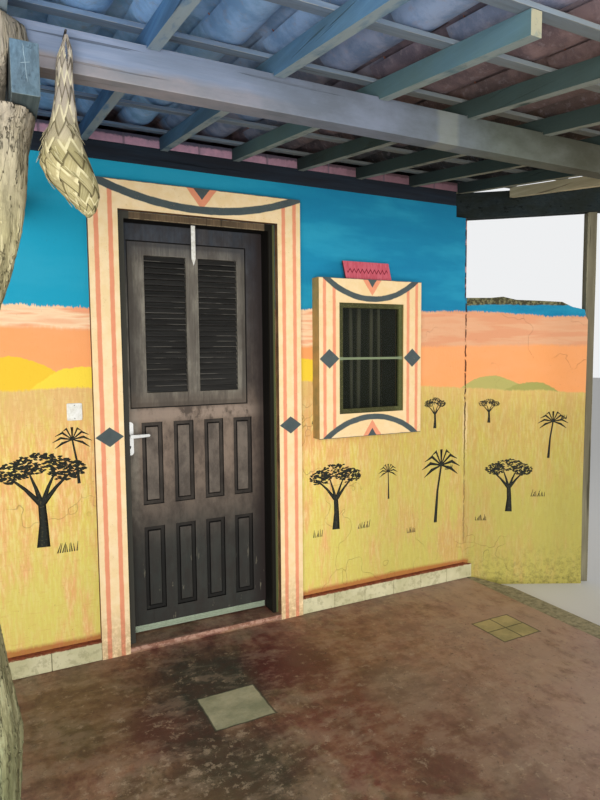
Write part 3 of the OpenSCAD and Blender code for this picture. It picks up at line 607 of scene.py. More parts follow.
cement.dress(colour, 0.34 + stain * 0.30 + splash * 0.25, Specular_IOR_Level=0.3)
cement.relief(cement.noise(0.12, 5, 0.6) * 0.5 + fleck * 0.5 - pits * 0.4, 0.0018)
paint_nodes(cement, "veranda_floor", "doorstep")
edging = Finish("edging_cement")
lichen = edging.noise(0.03, 5, 0.7)
edging.dress(edging.pick(lichen.over(0.5, 0.25), "A29A7C", "7A745C"), 0.9)
edging.relief(lichen, 0.002)
paint_nodes(edging, "floor_edging")
screed = Finish("screed")
screed.dress(screed.pick(screed.noise(0.3, 5), "8D6A5C", "77584C"), 0.55)
screed.relief(screed.noise(0.02, 4), 0.0006)
paint_nodes(screed, "room_floor")


# Door: a ledged leaf of dark stained hardwood with a louvred sash above and two rows of raised panels
# below. The stain has rubbed off the edges of the stiles, slats and panels.
def again(node):
    """A solid's shape as a bmesh, whose loose triangles are joined into flat faces."""
    shape = bmesh.new()
    shape.from_mesh(cad[node].data)
    bmesh.ops.remove_doubles(shape, verts=shape.verts, dist=1e-6)
    bmesh.ops.dissolve_limit(shape, angle_limit=math.radians(1), verts=shape.verts, edges=shape.edges)
    return shape


def wood_finish(name, along, tones, size=0.012, depth=0.002, shine=0.8, wear=0.8, touch=None):
    """Stained or weathered timber whose grain runs along one axis. Its tones are two for the
    fibres, then those of the streaks, the splits and the worn edges."""
    one, other, streaked, black, bare = tones.split()
    finish = Finish(name)

    def grain(size, detail, rough, squeeze, shift=(0, 0, 0)):
        stretch = tuple(squeeze if axis == along else 1 for axis in "xyz")
        return finish.noise(size, detail, rough, stretch, shift)

    fibre = grain(size, 6, 0.65, 0.05)
    streak = grain(size * 7, 5, 0.6, 0.12, (3, 8, 5))
    wear_and_painted_light = finish.mark("worn") * finish.noise(0.03, 5, 0.7).over(0.46, 0.12) * wear
    checks = grain(size * 1.6, 3, 0.5, 0.02, (9, 9, 9)).over(0.665, 0.02)
    colour = finish.coats(one, (fibre.over(0.5, 0.30), other), (streak.over(0.50, 0.22) * 0.7, streaked),
                          (wear_and_painted_light, bare), (checks * 0.6, black))
    finish.dress(touch(finish, colour) if touch else colour, shine + fibre * 0.25)
    return finish.relief(fibre * 0.6 + streak * 0.4 - checks * 0.8, depth)


def outline(finish, low, high, width):
    """1 on a thin line round the edge of a rectangle on the door's face."""
    x, y, z = finish.axes()
    centre, half = (low + high) / 2, (high - low) / 2
    beyond = ((x - centre.x).size() - half.x).most((z - centre.z).size() - half.z)
    return beyond.size().under(width, 0.002 + width * 0.4)


sash_box, leaf_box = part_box("louvre_sash"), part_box("door_leaf")


def door_touch(finish, colour):
    """Blue grey at the top, brown where hands and sun reach, charcoal below; painted shade at the hinge
    side and near black in the grooves and the gap round the sash.
    """
    x, y, z = finish.axes()
    patch = finish.noise(0.30, 5, 0.6, (1, 1, 0.5), (4, 4, 9))
    cloud = finish.noise(0.07, 5, 0.7, (1, 1, 0.6), (2, 1, 5))
    # Painted shade: the leaf darkens towards its hinge side.
    shaded_hinge_side = x.over(leaf_box[1].x - 0.065, 0.09)
    scuffs = finish.noise(0.02, 4, 0.7, (1, 1, 0.2)).over(0.66, 0.03) * z.under(0.45, 0.3)
    # Painted shade: near black in the grooves and in the gap round the sash.
    groove = finish.mark("groove")
    dark = groove.most(outline(finish, *sash_box, 0.0030))
    return finish.coats(
        colour,
        (z.over(1.95, 0.7) * patch.over(0.40, 0.2) * 0.85, "38424D"),
        (z.between(0.60, 1.40, 0.3) * patch.over(0.42, 0.16) * 0.8, "8C7A6A"),
        (z.under(0.78, 0.45) * 0.85, finish.pick(patch, "3A3D38", "2B2E2C")),
        (x.under(leaf_box[0].x + 0.075, 0.03) * z.between(0.8, 1.9, 0.4) * 0.6, "8E8A7C"),
        (y.over(leaf_box[0].y + 0.002, 0.001) * z.over(0.70, 0.3) * 0.55, "67625A"),
        (cloud.over(0.50, 0.22) * 0.55, "332D29"),
        (z.between(1.222, 1.285, 0.03) * cloud.under(0.54, 0.12) * 0.6, "A08E7E"),
        (shaded_hinge_side * 0.85, "2A2220"),
        (scuffs * 0.5, "8E8874"),
        (dark * 0.93, "0E0D0D"))


def sash_touch(finish, colour):
    """The sash is grey-brown, darker at its outer edge and darker and bluer at the top, with near-black
    painted shade in the gap round it.
    """
    x, y, z = finish.axes()
    cloud = finish.noise(0.09, 5, 0.65, (1, 1, 0.4), (2, 1, 5))
    return finish.coats(
        colour,
        (outline(finish, *sash_box, 0.026) * 0.6, "3C3833"),
        (z.over(sash_box[1].z - 0.07, 0.08) * 0.55, "3E4147"),
        (z.under(sash_box[0].z + 0.070, 0.05) * 0.6, finish.pick(cloud, "5A4C40", "6E6458")),
        (cloud.over(0.50, 0.14) * 0.5, "453E38"),
        # Painted shade: a near-black line in the gap round the sash.
        (outline(finish, *sash_box, 0.0030) * 0.9, "0E0D0D"))


def slat_touch(finish, colour):
    """Pale lines here and there along the lips of the slats, where the stain has gone."""
    bare = finish.noise(0.05, 4, 0.6, (0.25, 1, 1), (2, 6, 1)).over(0.54, 0.05)
    return finish.pick(finish.mark("worn") * bare * 0.7, colour, "77736A")


door_stain = wood_finish("door_stain", "z", "4E4843 645A52 3A3835 1C1A19 8F8272",
                         0.008, 0.0008, 0.42, 0.45, door_touch)
sash_stain = wood_finish("sash_stain", "z", "756F65 908A7C 56514A 262420 8C8878",
                         0.008, 0.0008, 0.5, 0.5, sash_touch)
slat_stain = wood_finish("slat_stain", "x", "30302E 3E3C39 272624 171615 3A3835",
                         0.008, 0.0008, 0.5, touch=slat_touch)
for name, width, finish in (("door_leaf", 0.002, door_stain), ("louvre_sash", 0.003, sash_stain),
                            ("door_louvres", 0.0015, slat_stain), ("door_panels", 0.0012, door_stain)):
    shape = again(name)
    middle_y = (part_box(name)[0].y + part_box(name)[1].y) / 2
    # Faces of the leaf and panels that slope or stand across the door, and the sunk margins round the
    # panels, are marked for near-black painted shade.
    grooves = shape.faces.layers.float.new("groove")
    shape.normal_update()
    for face in shape.faces:
        sunk = name == "door_panels" and abs(face.calc_center_median().y - middle_y) < 0.010
        face[grooves] = 1.0 if finish == door_stain and abs(face.normal.y) < 0.98 else 0.72 * sunk
    ease(shape, width, 2)
    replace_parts(fresh(name + "_wood", shape, finish, "door"), name)


def redo(node, name, finish, width, segments=1, body="house", sharp=35):
    """Puts a piece with the solid's own shape, eased edges and its finish in the solid's place."""
    shape = again(node)
    ease(shape, width, segments, sharp)
    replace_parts(fresh(name, shape, finish, body), node)


def jamb_touch(finish, colour):
    """The left jamb is as dark as the leaf. The head and the right jamb carry near-black painted shade
    behind their front, and the right jamb's front is painted near black too, but for a bare olive strip at
    its outer edge.
    """
    low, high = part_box("door_frame")
    x, y, z = finish.axes()
    behind = y.over(low.y + 0.012, 0.004)
    right_jamb = x.over(high.x - 0.060, 0.002)
    head = z.over(high.z - 0.050, 0.002)
    # Painted shade: near black on the head and right jamb behind the front, and on most of the right jamb's
    # front.
    return finish.coats(
        colour,
        (x.under(low.x + 0.060, 0.002), "403F38"),
        (right_jamb * (1 - behind), finish.pick(x.over(high.x - 0.014, 0.004), "1C1A14", "565A38")),
        (behind * right_jamb.most(head), "14120F"))


jamb_wood = wood_finish("jamb_wood", "z", "5C4C3A 75624A 4A3E30 2A251C 9A8A6C",
                        0.010, 0.0008, 0.55, touch=jamb_touch)
redo("door_frame", "door_frame_wood", jamb_wood, 0.003, 2)


# Door furniture: lever handles on long backplates, butt hinges and a ribbed strip at the foot. They
# are plated or galvanised metal, dulled and pitted; a white pointed slat hangs from the head.
def metal_finish(name, bright, dull, roughness, spots="5C4A38"):
    finish = Finish(name)
    haze = finish.noise(0.02, 5, 0.65)
    pits = finish.noise(0.004, 4, 0.7).over(0.66, 0.04)
    finish.dress(finish.pick(pits * 0.7, finish.pick(haze, bright, dull), spots),
                 roughness + haze * 0.2 + pits * 0.3, Metallic=0.9, Specular_IOR_Level=0.5)
    return finish.relief(haze * 0.3 - pits, 0.0002)


def disc(shape, spot, radius, depth, top):
    """A round flat head whose axis stands out of the wall."""
    bmesh.ops.create_cone(shape, cap_ends=True, segments=16, radius1=radius, radius2=top, depth=depth,
                          matrix=Matrix.Translation(spot) @ Matrix.Rotation(math.pi / 2, 4, "X"))


plated = metal_finish("plated_brass", "F0F0EC", "CECCC6", 0.20)
galvanised = metal_finish("galvanised_steel", "8C8F8E", "5F625F", 0.4)
redo("door_handles", "door_handles_plated", plated, 0.0008, 2, "door", 50)
# The keyholes are flat near-black discs and slots on the plates: painted shade where the holes would be
# dark.
shadow = Finish("keyhole_dark")
shadow.dress(shadow.pick(shadow.noise(0.003), "0C0B0A", "1A1816"), 0.8)
plate_x, plate_low = leaf_box[0].x + 0.030, 1.048
keyhole_r, screw_r = 0.004, 0.0038
keyholes, screws = bmesh.new(), bmesh.new()
for face, way in ((leaf_box[0].y - 0.003, -1), (leaf_box[1].y + 0.003, 1)):
    disc(keyholes, (plate_x, face, plate_low + 0.045), keyhole_r, 0.001, keyhole_r)
    add_box(keyholes, (plate_x - 0.0018, face - 0.0005, plate_low + 0.034),
            (plate_x + 0.0018, face + 0.0005, plate_low + 0.046))
    for height in (plate_low + 0.010, plate_low + 0.164):
        disc(screws, (plate_x, face + way * 0.0006, height), screw_r, 0.0022, screw_r)
ease(screws, 0.0006)
fresh("door_keyholes", keyholes, shadow, "door")
fresh("door_plate_screws", screws, plated, "door")
paint_nodes(galvanised, "frame_hinges", "leaf_hinges")
strip_metal = metal_finish("strip_metal", "C2CDB6", "98A48C", 0.5)
low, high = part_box("weather_strip")
strip = bmesh.new()
add_box(strip, (low.x, low.y + 0.004, low.z), high)
for height in (low.z + 0.003, low.z + 0.013, low.z + 0.023):
    add_box(strip, (low.x + 0.002, low.y, height), (high.x - 0.002, low.y + 0.0045, height + 0.006))
ease(strip, 0.0012, 2)
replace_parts(fresh("weather_strip_ribbed", strip, strip_metal, "door"), "weather_strip")
white_plastic = Finish("white_plastic")
dusty = white_plastic.noise(0.02, 5, 0.6)
white_plastic.dress(white_plastic.pick(dusty.over(0.5, 0.3), "EFEEE6", "D2CFC0"), 0.35 + dusty * 0.2,
                    Specular_IOR_Level=0.4)
white_plastic.relief(dusty, 0.0002)
redo("door_slat", "door_slat_white", white_plastic, 0.0006)


# Window: a small steel casement with one mullion and a crossbar, set in putty. Its paint is olive and
# has weathered pale on the crossbar, with painted light on its right part. The glass is tinted near
# black as painted shade of the dark room; behind it a cotton curtain hangs from a wooden rod, with
# painted light on the ridges of its folds.
def faced(shape, sharp=30):
    """Shades the curved faces smooth, and leaves the edges crisp."""
    for face in shape.faces:
        face.smooth = True
    for edge in shape.edges:
        edge.smooth = len(edge.link_faces) == 2 and edge.calc_face_angle() < math.radians(sharp)


casement = Finish("casement_paint")
x, y, z = casement.axes()
low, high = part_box("window_frame")
centre, half_bar = (low + high) / 2, 0.009
# Painted light: the right part of the frame is painted a lighter olive.
painted_light_right = x.over(centre.x + 0.18, 0.05)
crossbar = (z - centre.z).size().under(half_bar, 0.001)
olive = casement.coats(
    "34351C",
    (casement.noise(0.03, 5, 0.65), "4A4A2C"),
    (painted_light_right * 0.6, "60643A"))
flaked = casement.noise(0.006, 4, 0.7).over(0.60, 0.05)
olive = casement.pick(crossbar, casement.pick(flaked * 0.6, olive, "8A8858"), "7C8868")
casement.dress(olive, 0.5 + flaked * 0.2)
casement.relief(flaked, 0.0003)
redo("window_frame", "window_frame_painted", casement, 0.0015, 2)
# The panes are tinted near black and partly see-through: painted shade for the dark room behind them.
pane = Finish("window_pane")
dust = pane.noise(0.05, 5, 0.7)
pane.dress(pane.pick(dust.over(0.5, 0.3), "0E130E", "151B13"), 0.16 + dust * 0.20,
           Alpha=0.42, Specular_IOR_Level=0.25)
redo("window_glass", "window_panes", pane, 0.0006)
rod_wood = wood_finish("rod_wood", "x", "7A6242 8E7550 6A5438 4A3A26 A08C66", 0.006, 0.0008, 0.5)
paint_nodes(rod_wood, "curtain_rod")
low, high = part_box("window_curtain")
curtain_w, curtain_h = high.x - low.x, high.z - low.z
cloth = bmesh.new()
cloth.loops.layers.uv.new("cloth")
bmesh.ops.create_grid(cloth, x_segments=170, y_segments=40, size=0.5, calc_uvs=True,
                      matrix=Matrix.Rotation(math.pi / 2, 4, "X"))
folds = ((0.075, 0.025), (0.15, 0.030), (0.235, 0.022), (0.33, 0.025), (0.425, 0.022), (0.515, 0.020),
         (0.602, 0.024), (0.727, 0.020), (0.800, 0.018), (0.878, 0.022), (0.955, 0.022))


def fold_at(u, fall):
    """How far a fold stands out, from 0 to 1; the folds drift a little as they fall."""
    return min(1.0, sum(math.exp(-((u - middle - 0.012 * fall * math.sin(middle * 40)) / wide) ** 2)
                        for middle, wide in folds))


for vert in cloth.verts:
    u, fall = vert.co.x + 0.5, 0.5 - vert.co.z
    vert.co = (low.x + u * curtain_w,
               high.y - 0.003 - fold_at(u, fall) * (0.019 + 0.003 * math.sin(fall * 5)),
               high.z - fall * curtain_h)
faced(cloth, 180)
curtain_cloth = Finish("curtain_cloth")
thread = curtain_cloth.noise(0.0016, 2, 0.5, (1, 1, 0.25))
faded = curtain_cloth.noise(0.15, 4, 0.6)
x, y, z = curtain_cloth.axes()
# Painted light: the ridges of the folds, nearest the window, are pale.
lit_fold_ridges = (high.y - y).over(0.015, 0.008)
cotton = curtain_cloth.coats(
    "4A4C30",
    (faded, "3A3C26"),
    (lit_fold_ridges, curtain_cloth.pick(faded, "BCBA94", "A4A27C")))
curtain_cloth.dress(cotton, 0.95, Sheen_Weight=0.2)
curtain_cloth.relief(thread, 0.0003)
curtain = fresh("window_curtain_cloth", cloth, curtain_cloth)
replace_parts(curtain, "window_curtain")


# Sawn timber: plates, beams, rafters and battens of hardwood, rough from the saw and nailed together.
# It has weathered grey, browner to the right, with paler worn edges and freshly cut ends. Under the
# roof it carries painted light, a blue cast at the left and pale lit undersides on the rafters, and
# painted shade near the wall.
def sawn(node, finish, slot, along, wander=0.0022, width=0.0028):
    """Timber with eased edges, cut into short lengths whose surface wanders a little inwards."""
    shape = again(node)
    low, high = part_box(node)
    axis, cut = "xyz".index(along), 0.11
    direction = Vector([float(i == axis) for i in range(3)])
    for i in range(1, round((high[axis] - low[axis]) / cut)):
        bmesh.ops.bisect_plane(shape, geom=whole(shape),
                               plane_co=low + direction * cut * i, plane_no=direction)
    ease(shape, width, 2)
    shape.normal_update()
    under = shape.faces.layers.float.new("under")
    for face in shape.faces:
        face[under] = float(face.normal.z < -0.7)
    moved = {}
    for vert in shape.verts:
        spot = Vector([vert.co[i] * (5 if i == axis else 9) for i in range(3)])
        moved[vert] = vert.normal * wander * (0.5 + 0.5 * noise.noise(spot))
    for vert, step in moved.items():
        vert.co -= step
    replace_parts(fresh(node + "_sawn", shape, finish), node)


def beam_touch(finish, colour):
    """Lavender grey at the left, a blue cast of painted light, with a rain-stained brown foot, and dark
    olive brown at the right.
    """
    low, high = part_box("veranda_beam")
    x, y, z = finish.axes()
    cloud = finish.noise(0.16, 5, 0.65, (0.5, 1, 1), (4, 4, 9))
    foot = (z + (cloud - 0.5) * 0.06).under(low.z + 0.040, 0.020) * x.under(-0.35, 0.5)
    colour = finish.pick(foot * 0.75, colour, finish.pick(cloud.over(0.5, 0.2), "8E827C", "767370"))
    for edge, soft, one, other in ((-0.55, 0.7, "6E7582", "60666F"), (0.25, 0.5, "5C625A", "4C5149"),
                                   (0.70, 0.6, "54544A", "444438")):
        colour = finish.pick((x + cloud * 0.3).over(edge, soft), colour,
                             finish.pick(cloud.over(0.5, 0.2), one, other))
    patch = (x - 0.095 + (cloud - 0.5) * 0.06).size().under(0.045, 0.02) * cloud.over(0.36, 0.1)
    return finish.pick(patch * 0.4, colour, "85887A")


def roof_touch(finish, colour):
    """Timber under the roof is slate blue at the left, a painted cast of light, greenish black at the
    right, and darker still near the wall, which is painted shade.
    """
    x, y, z = finish.axes()
    cloud = finish.noise(0.30, 4, 0.6, shift=(4, 4, 9))
    beyond = y.over(-1.5, 0.3).most(x.under(-1.45, 0.05))
    return finish.coats(
        colour,
        ((x + cloud * 0.4).over(-0.30, 0.7) * 0.9, finish.pick(cloud, "4C6462", "627A74")),
        ((x + cloud * 0.4).over(0.20, 0.45) * 0.92, finish.pick(cloud, "2C3834", "3A443E")),
        # Painted shade: darker near the wall, under the roof.
        (y.over(-1.9, 0.3) * x.over(-0.9, 1.6) * 0.6, "23292A"),
        (beyond * 0.85, finish.pick(cloud, "5E5C54", "77736A")))


def rafter_touch(finish, colour):
    """Pale undersides, which are painted light, and bare cut ends at the eave."""
    colour = roof_touch(finish, colour)
    x, y, z = finish.axes()
    # Painted light: the undersides of the rafters are pale in patches.
    wear_and_painted_light = finish.noise(0.04, 4, 0.6, (1, 0.3, 1)).over(0.40, 0.2)
    eave_cut = -3.6885
    cut_end = y.under(eave_cut, 0.001)
    return finish.coats(
        colour,
        (finish.mark("under") * wear_and_painted_light * 0.7, finish.pick(x.over(0.2, 2.0), "9AA6A8", "8C8A74")),
        (cut_end * finish.noise(0.02, 4).over(0.30, 0.3), "98947C"))


def batten_touch(finish, colour):
    """The battens are blue at the left, a painted cast of light, and dull to olive grey towards the right,
    and wholly at the back.
    """
    x, y, z = finish.axes()
    return finish.pick((x.over(-0.35, 1.2) * 0.8).most(y.over(-1.5, 0.3)), colour, "76766A")


def tie_touch(finish, colour):
    """The end grain is grey green and has a thin star of cracks."""
    low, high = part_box("tie_beam")
    x, y, z = finish.axes()
    end = y.under(low.y + 0.0015, 0.001)
    grey = finish.pick(finish.noise(0.012, 5, 0.7, (1, 1, 0.4)).over(0.48, 0.2), "607888", "4C606E")
    centre, hair = (low + high) / 2, 0.0006
    across, up = x - centre.x, z - centre.z - 0.012
    bend = (finish.noise(0.02, 3) - 0.5) * 0.004
    star = ((across + up * 0.08 + bend).size().under(hair, hair) * up.size().under(0.040, 0.01)).most(
        (up - across * 0.3 + bend).size().under(hair, hair) * across.size().under(0.010, 0.004))
    return finish.pick(end, colour, finish.pick(star * 0.7, grey, "A8BCC4"))


# The blue in the beam, rafter and batten tones is painted light: the cast of the light under the roof.
beam_wood = wood_finish("beam_wood", "x", "76849A 8A94A8 6A7688 3A3E44 A0A6B0", shine=0.75,
                        touch=beam_touch)
rafter_wood = wood_finish("rafter_wood", "y", "4C76A2 5E8AB4 3E5874 1E262C 7E929E",
                          shine=0.75, touch=rafter_touch)
batten_wood = wood_finish("batten_wood", "x", "66809C 7A90AA 525E70 2A2C30 9C9C98",
                          0.010, 0.0015, touch=batten_touch)
plate_wood = wood_finish("plate_wood", "x", "1E2630 29323C 242428 101216 3A424A")
post_wood = wood_finish("post_wood", "z", "7C7662 908A72 686250 2C2A20 A8A286")
corner_wood = wood_finish("corner_wood", "x", "20282A 2D3535 22261F 0C0E0E 3A403C", shine=0.75)
tan_wood = wood_finish("tan_wood", "y", "BFB592 D6CCA8 A89C7C 5A5040 DED6B8")
tie_wood = wood_finish("tie_wood", "y", "3E4A4C 525E60 44423E 1E2221 6C7878", touch=tie_touch)
for node, finish, slot, along, *fineness in (
        ("veranda_beam", beam_wood, "grey_timber", "x"), ("front_rafters", rafter_wood, "grey_timber", "y"),
        ("back_rafters", rafter_wood, "grey_timber", "y"), ("verge_rafter", tan_wood, "grey_timber", "y"),
        ("front_laths", batten_wood, "grey_timber", "x", 0.0012, 0.0015),
        ("back_laths", batten_wood, "grey_timber", "x", 0.0012, 0.0015),
        ("ridge_beam", beam_wood, "dark_timber", "x"), ("front_plate", plate_wood, "dark_timber", "x"),
        ("back_plate", plate_wood, "dark_timber", "x"), ("corner_beam", corner_wood, "dark_timber", "x"),
        ("wing_post", post_wood, "dark_timber", "z"), ("tie_beam", tie_wood, "dark_timber", "y")):
    sawn(node, finish, slot, along, *fineness)


# Infill: small hollow clay bricks on edge between the rafters, bedded in lime mortar on the wall
# plate. They have never been plastered, and the mortar is smeared over their faces.
brick = Finish("infill_brick")
x, y, z = brick.axes()
brick_half, plate_top = 0.095, 2.640
joint = x.math("PINGPONG", x, brick_half).under(0.005, 0.003)
smear = brick.noise(0.05, 5, 0.7)
colour = brick.coats(
    "CE9EB2",
    (smear.over(0.5, 0.3), "B08EA0"),
    ((z + smear * 0.03).over(plate_top, 0.008), "565464"),
    ((x + smear * 0.3).over(0.3, 1.0) * 0.7, "6A4A48"),
    (joint.most(smear.over(0.68, 0.05)) * 0.6, "6C6470"))
brick.dress(colour, 0.9)
brick.relief(smear * 0.6 - joint * 0.8, 0.004)
for node in ("front_infill", "back_infill"):
    redo(node, node + "_bricks", brick, 0.002)


# Trunks: whole barked tree trunks set in the ground, one of them forked to hold the tie beam. The
# wood has weathered silver-grey, and long cracks and fibres run up it round old knots.
def trunk(node, finish, voxel):
    """A rounder, cracked trunk that stays inside the solid it stands for."""
    body = put(node + "_rough", meshed(node + "_rough", again(node)))
    remesh = body.modifiers.new("remesh", "REMESH")
    remesh.mode, remesh.voxel_size = "VOXEL", voxel
    soften = body.modifiers.new("soften", "SMOOTH")
    soften.iterations, soften.factor = 3, 0.5
    shape = bmesh.new()
    shape.from_mesh(settled(body))
    low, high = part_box(node)
    shape.normal_update()
    depth, sunk = 0.005, {}
    for vert in shape.verts:
        twist = vert.co.z * 0.9
        along = Vector((vert.co.x * math.cos(twist) - vert.co.y * math.sin(twist),
                        vert.co.x * math.sin(twist) + vert.co.y * math.cos(twist), vert.co.z * 0.10))
        fibre = noise.fractal(along * 34, 0.8, 2.1, 4)
        crack = 1 - min(1.0, abs(noise.noise(along * 19 + Vector((7, 3, 1)))) / 0.10)
        lump = noise.noise(vert.co * 6)
        at_end = min(1.0, max(0.15, (high.z - 0.06 - vert.co.z) / 0.10))
        sunk[vert] = vert.normal * depth * at_end * (0.45 + 0.25 * fibre + 0.9 * crack + 0.35 * lump)
    for vert, step in sunk.items():
        vert.co -= step
        vert.co.z = max(vert.co.z, low.z)
    faced(shape, 60)
    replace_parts(fresh(node + "_wood", shape, finish), node)


bark = Finish("bare_trunk_wood")
x, y, z = bark.axes()
grain = bark.noise(0.012, 6, 0.7, (1, 1, 0.06))
long_streak = bark.noise(0.06, 5, 0.65, (1, 1, 0.12), (2, 7, 3))
weathering = bark.noise(0.25, 4, 0.6, (1, 1, 0.5), (5, 5, 5))
ridged = bark.noise(0.022, 5, 0.7, (1, 1, 0.05), (1, 4, 4))
fork_tone = bark.pick(grain.over(0.5, 0.3), "8A8274", "ACA08C")
furrow = bark.noise(0.028, 4, 0.6, (1, 1, 0.035), (4, 6, 1)).over(0.55, 0.05)
cracked = (bark.noise(0.016, 3, 0.5, (1, 1, 0.04), (9, 1, 4)) - 0.56).size().under(0.010, 0.014)
colour = bark.coats(
    "928A66",
    (grain.over(0.5, 0.3), "C0B68A"),
    (ridged.over(0.53, 0.08) * 0.8, "D6CBA0"),
    (long_streak.over(0.52, 0.20) * 0.6, "746C4E"),
    ((z + weathering * 0.2).over(2.12, 0.30), fork_tone),
    ((z - weathering * 0.4).under(0.55, 0.7) * 0.75, "6C7450"),
    (ridged.over(0.60, 0.05) * z.under(0.8, 0.5) * 0.6, "A8AE86"),
    (furrow * 0.35, "6A6044"),
    (cracked * 0.7, "3A3626"))
bark.dress(colour, 0.85)
bark.relief(grain * 0.4 + ridged * 0.6 - cracked * 0.8 - furrow * 0.4, 0.008)
trunk("trunk_post", bark, 0.008)
trunk("right_trunk", bark, 0.010)


# Roof tiles: half-round clay tiles, each a tapered trough about 460 mm long. A row of channels lies
# on the battens, and a row of covers laps the joints between them; the ridge has half-rounds too.
def tile_mould(narrow, wide, length, thick, sweep, steps, hollow_up):
    """One tile with its axis along Y, made by turning a strip of clay round it."""
    shape = bmesh.new()
    start = math.radians(-90 - sweep / 2 if hollow_up else 90 - sweep / 2)
    add_box(shape, (0, 0, 0), (thick, length, 0.001))
    top = [f for f in shape.faces if f.normal.z < 0.5 or len(f.verts) < 4]
    bmesh.ops.delete(shape, geom=top, context="FACES")
    for vert in shape.verts:
        outer = wide if (vert.co.y < length / 2) != hollow_up else narrow
        vert.co = (outer - thick + vert.co.x, vert.co.y, 0)
    bmesh.ops.rotate(shape, verts=shape.verts, cent=(0, 0, 0), matrix=Matrix.Rotation(-start, 3, "Y"))
    bmesh.ops.spin(shape, geom=whole(shape), cent=(0, 0, 0),
                   axis=(0, -1, 0), angle=math.radians(sweep), steps=steps, use_merge=False)
    bmesh.ops.remove_doubles(shape, verts=shape.verts, dist=1e-5)
    bmesh.ops.recalc_face_normals(shape, faces=shape.faces)
    return meshed("mould", shape)


def lay(shape, mould, place, tone):
    tones = shape.faces.layers.float.get("tone") or shape.faces.layers.float.new("tone")
    first_vert, first_face = len(shape.verts), len(shape.faces)
    shape.from_mesh(mould)
    shape.verts.ensure_lookup_table()
    shape.faces.ensure_lookup_table()
    bmesh.ops.transform(shape, matrix=place, verts=shape.verts[first_vert:])
    unders = shape.faces.layers.float.get("under") or shape.faces.layers.float.new("under")
    for face in shape.faces[first_face:]:
        face.normal_update()
        face[tones], face[unders] = tone, float(face.normal.z < -0.30)


clay = Finish("clay_tile")
tone = clay.mark("tone")
burnt = clay.noise(0.09, 5, 0.65)
moss = clay.noise(0.03, 5, 0.7, shift=(3, 3, 3))
grit = clay.noise(0.004, 3, 0.6)
x, y, z = clay.axes()
# The undersides get their own colours: a darker mauve than the tops, which is painted shade, a pale blue
# cast of painted light at the left, brown at the right front and greenish black towards the right and the
# wall.
underside_light_and_shade = clay.coats(
    "6E5C62",
    (tone, "8A7474"),
    (burnt.over(0.50, 0.15) * 0.7, "4E4650"),
    ((x - tone * 0.3).under(-0.55, 0.8) * y.over(-3.72, 0.08) * y.under(-1.7, 0.1) * 0.9,
     clay.pick(burnt.over(0.5, 0.2), "94C2F0", "78A8D6")),
    ((x + burnt * 0.6).over(0.6, 1.0) * y.under(-2.6, 0.5) * 0.6, "7E6250"),
    ((x + tone * 0.4).over(0.35, 1.1) * y.over(-3.1, 0.8) * 0.85, "2E3432"),
    (moss.over(0.60, 0.10) * 0.3, "9A9094"))
colour = clay.coats(
    "8E5F50",
    (tone, "AC7058"),
    (burnt.over(0.52, 0.2) * 0.6, "6A4A44"),
    (moss.over(0.58, 0.08) * 0.6, "5C5A50"),
    (clay.mark("under"), underside_light_and_shade),
    (grit.over(0.62, 0.05) * 0.15, "A08C84"))
clay.dress(colour, 0.85 + tone * 0.08)
clay.relief(burnt * 0.5 + grit * 0.5, 0.0015)
chance = random.Random(5)
tile_l, tile_t, gauge, tiles_across = 0.46, 0.012, 0.398, 17
channel_mould = tile_mould(0.080, 0.087, tile_l, tile_t, 126, 8, True)
cover_mould = tile_mould(0.079, 0.087, tile_l, tile_t, 150, 8, False)
roof_rise, roof_run, step_up = 2.853 - 2.388, 3.690 - 0.178, 0.011
pitch = math.atan2(roof_rise, roof_run)
for node, eave, side in (("front_tiles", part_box("front_tiles")[0].y, 1),
                         ("back_tiles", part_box("back_tiles")[1].y, -1)):
    low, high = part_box(node)
    tile_w = (high.x - low.x) / tiles_across
    run = (abs(eave) - 0.010) / math.cos(pitch)
    roof = bmesh.new()
    for row in range(math.ceil(run / gauge)):
        for i in range(tiles_across):
            for mould, across, height in ((channel_mould, i, 0.087), (cover_mould, i + 0.5, 0.004)):
                if across == 0:
                    continue
                rest = Matrix.Rotation(-math.atan2(step_up, gauge), 4, "X")
                skew = Matrix.Rotation(chance.uniform(-0.010, 0.010), 4, "Z")
                slip = chance.uniform(-0.006, 0.006) if row else 0.0
                place = (Matrix.Rotation(0 if side == 1 else math.pi, 4, "Z")
                         @ Matrix.Translation((low.x + across * tile_w, -abs(eave) + 0.012, low.z + 0.0015))
                         @ Matrix.Rotation(pitch, 4, "X")
                         @ Matrix.Translation((0, row * gauge + slip, height + step_up)) @ rest @ skew)
                lay(roof, mould, place, chance.random())
    cut = bmesh.ops.bisect_plane(roof, geom=whole(roof),
                                 plane_co=(0, -0.012 * side, 0), plane_no=(0, side, 0), clear_outer=True)
    bmesh.ops.holes_fill(roof, edges=[e for e in cut["geom_cut"] if isinstance(e, bmesh.types.BMEdge)])
    faced(roof)
    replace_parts(fresh(node + "_laid", roof, clay), node)
low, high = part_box("ridge_tiles")
ridge_gauge = 0.38
ridge_mould = tile_mould(0.112, 0.119, 0.44, 0.014, 176, 10, False)
ridge = bmesh.new()
for i in range(9):
    place = (Matrix.Translation((low.x + 0.002 + i * ridge_gauge, 0, low.z + 0.0005))
             @ Matrix.Rotation(-math.pi / 2, 4, "Z"))
    lay(ridge, ridge_mould, place, chance.random())
bmesh.ops.bisect_plane(ridge, geom=whole(ridge),
                       plane_co=(high.x - 0.002, 0, 0), plane_no=(1, 0, 0), clear_outer=True)
faced(ridge)
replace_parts(fresh("ridge_tiles_laid", ridge, clay), "ridge_tiles")


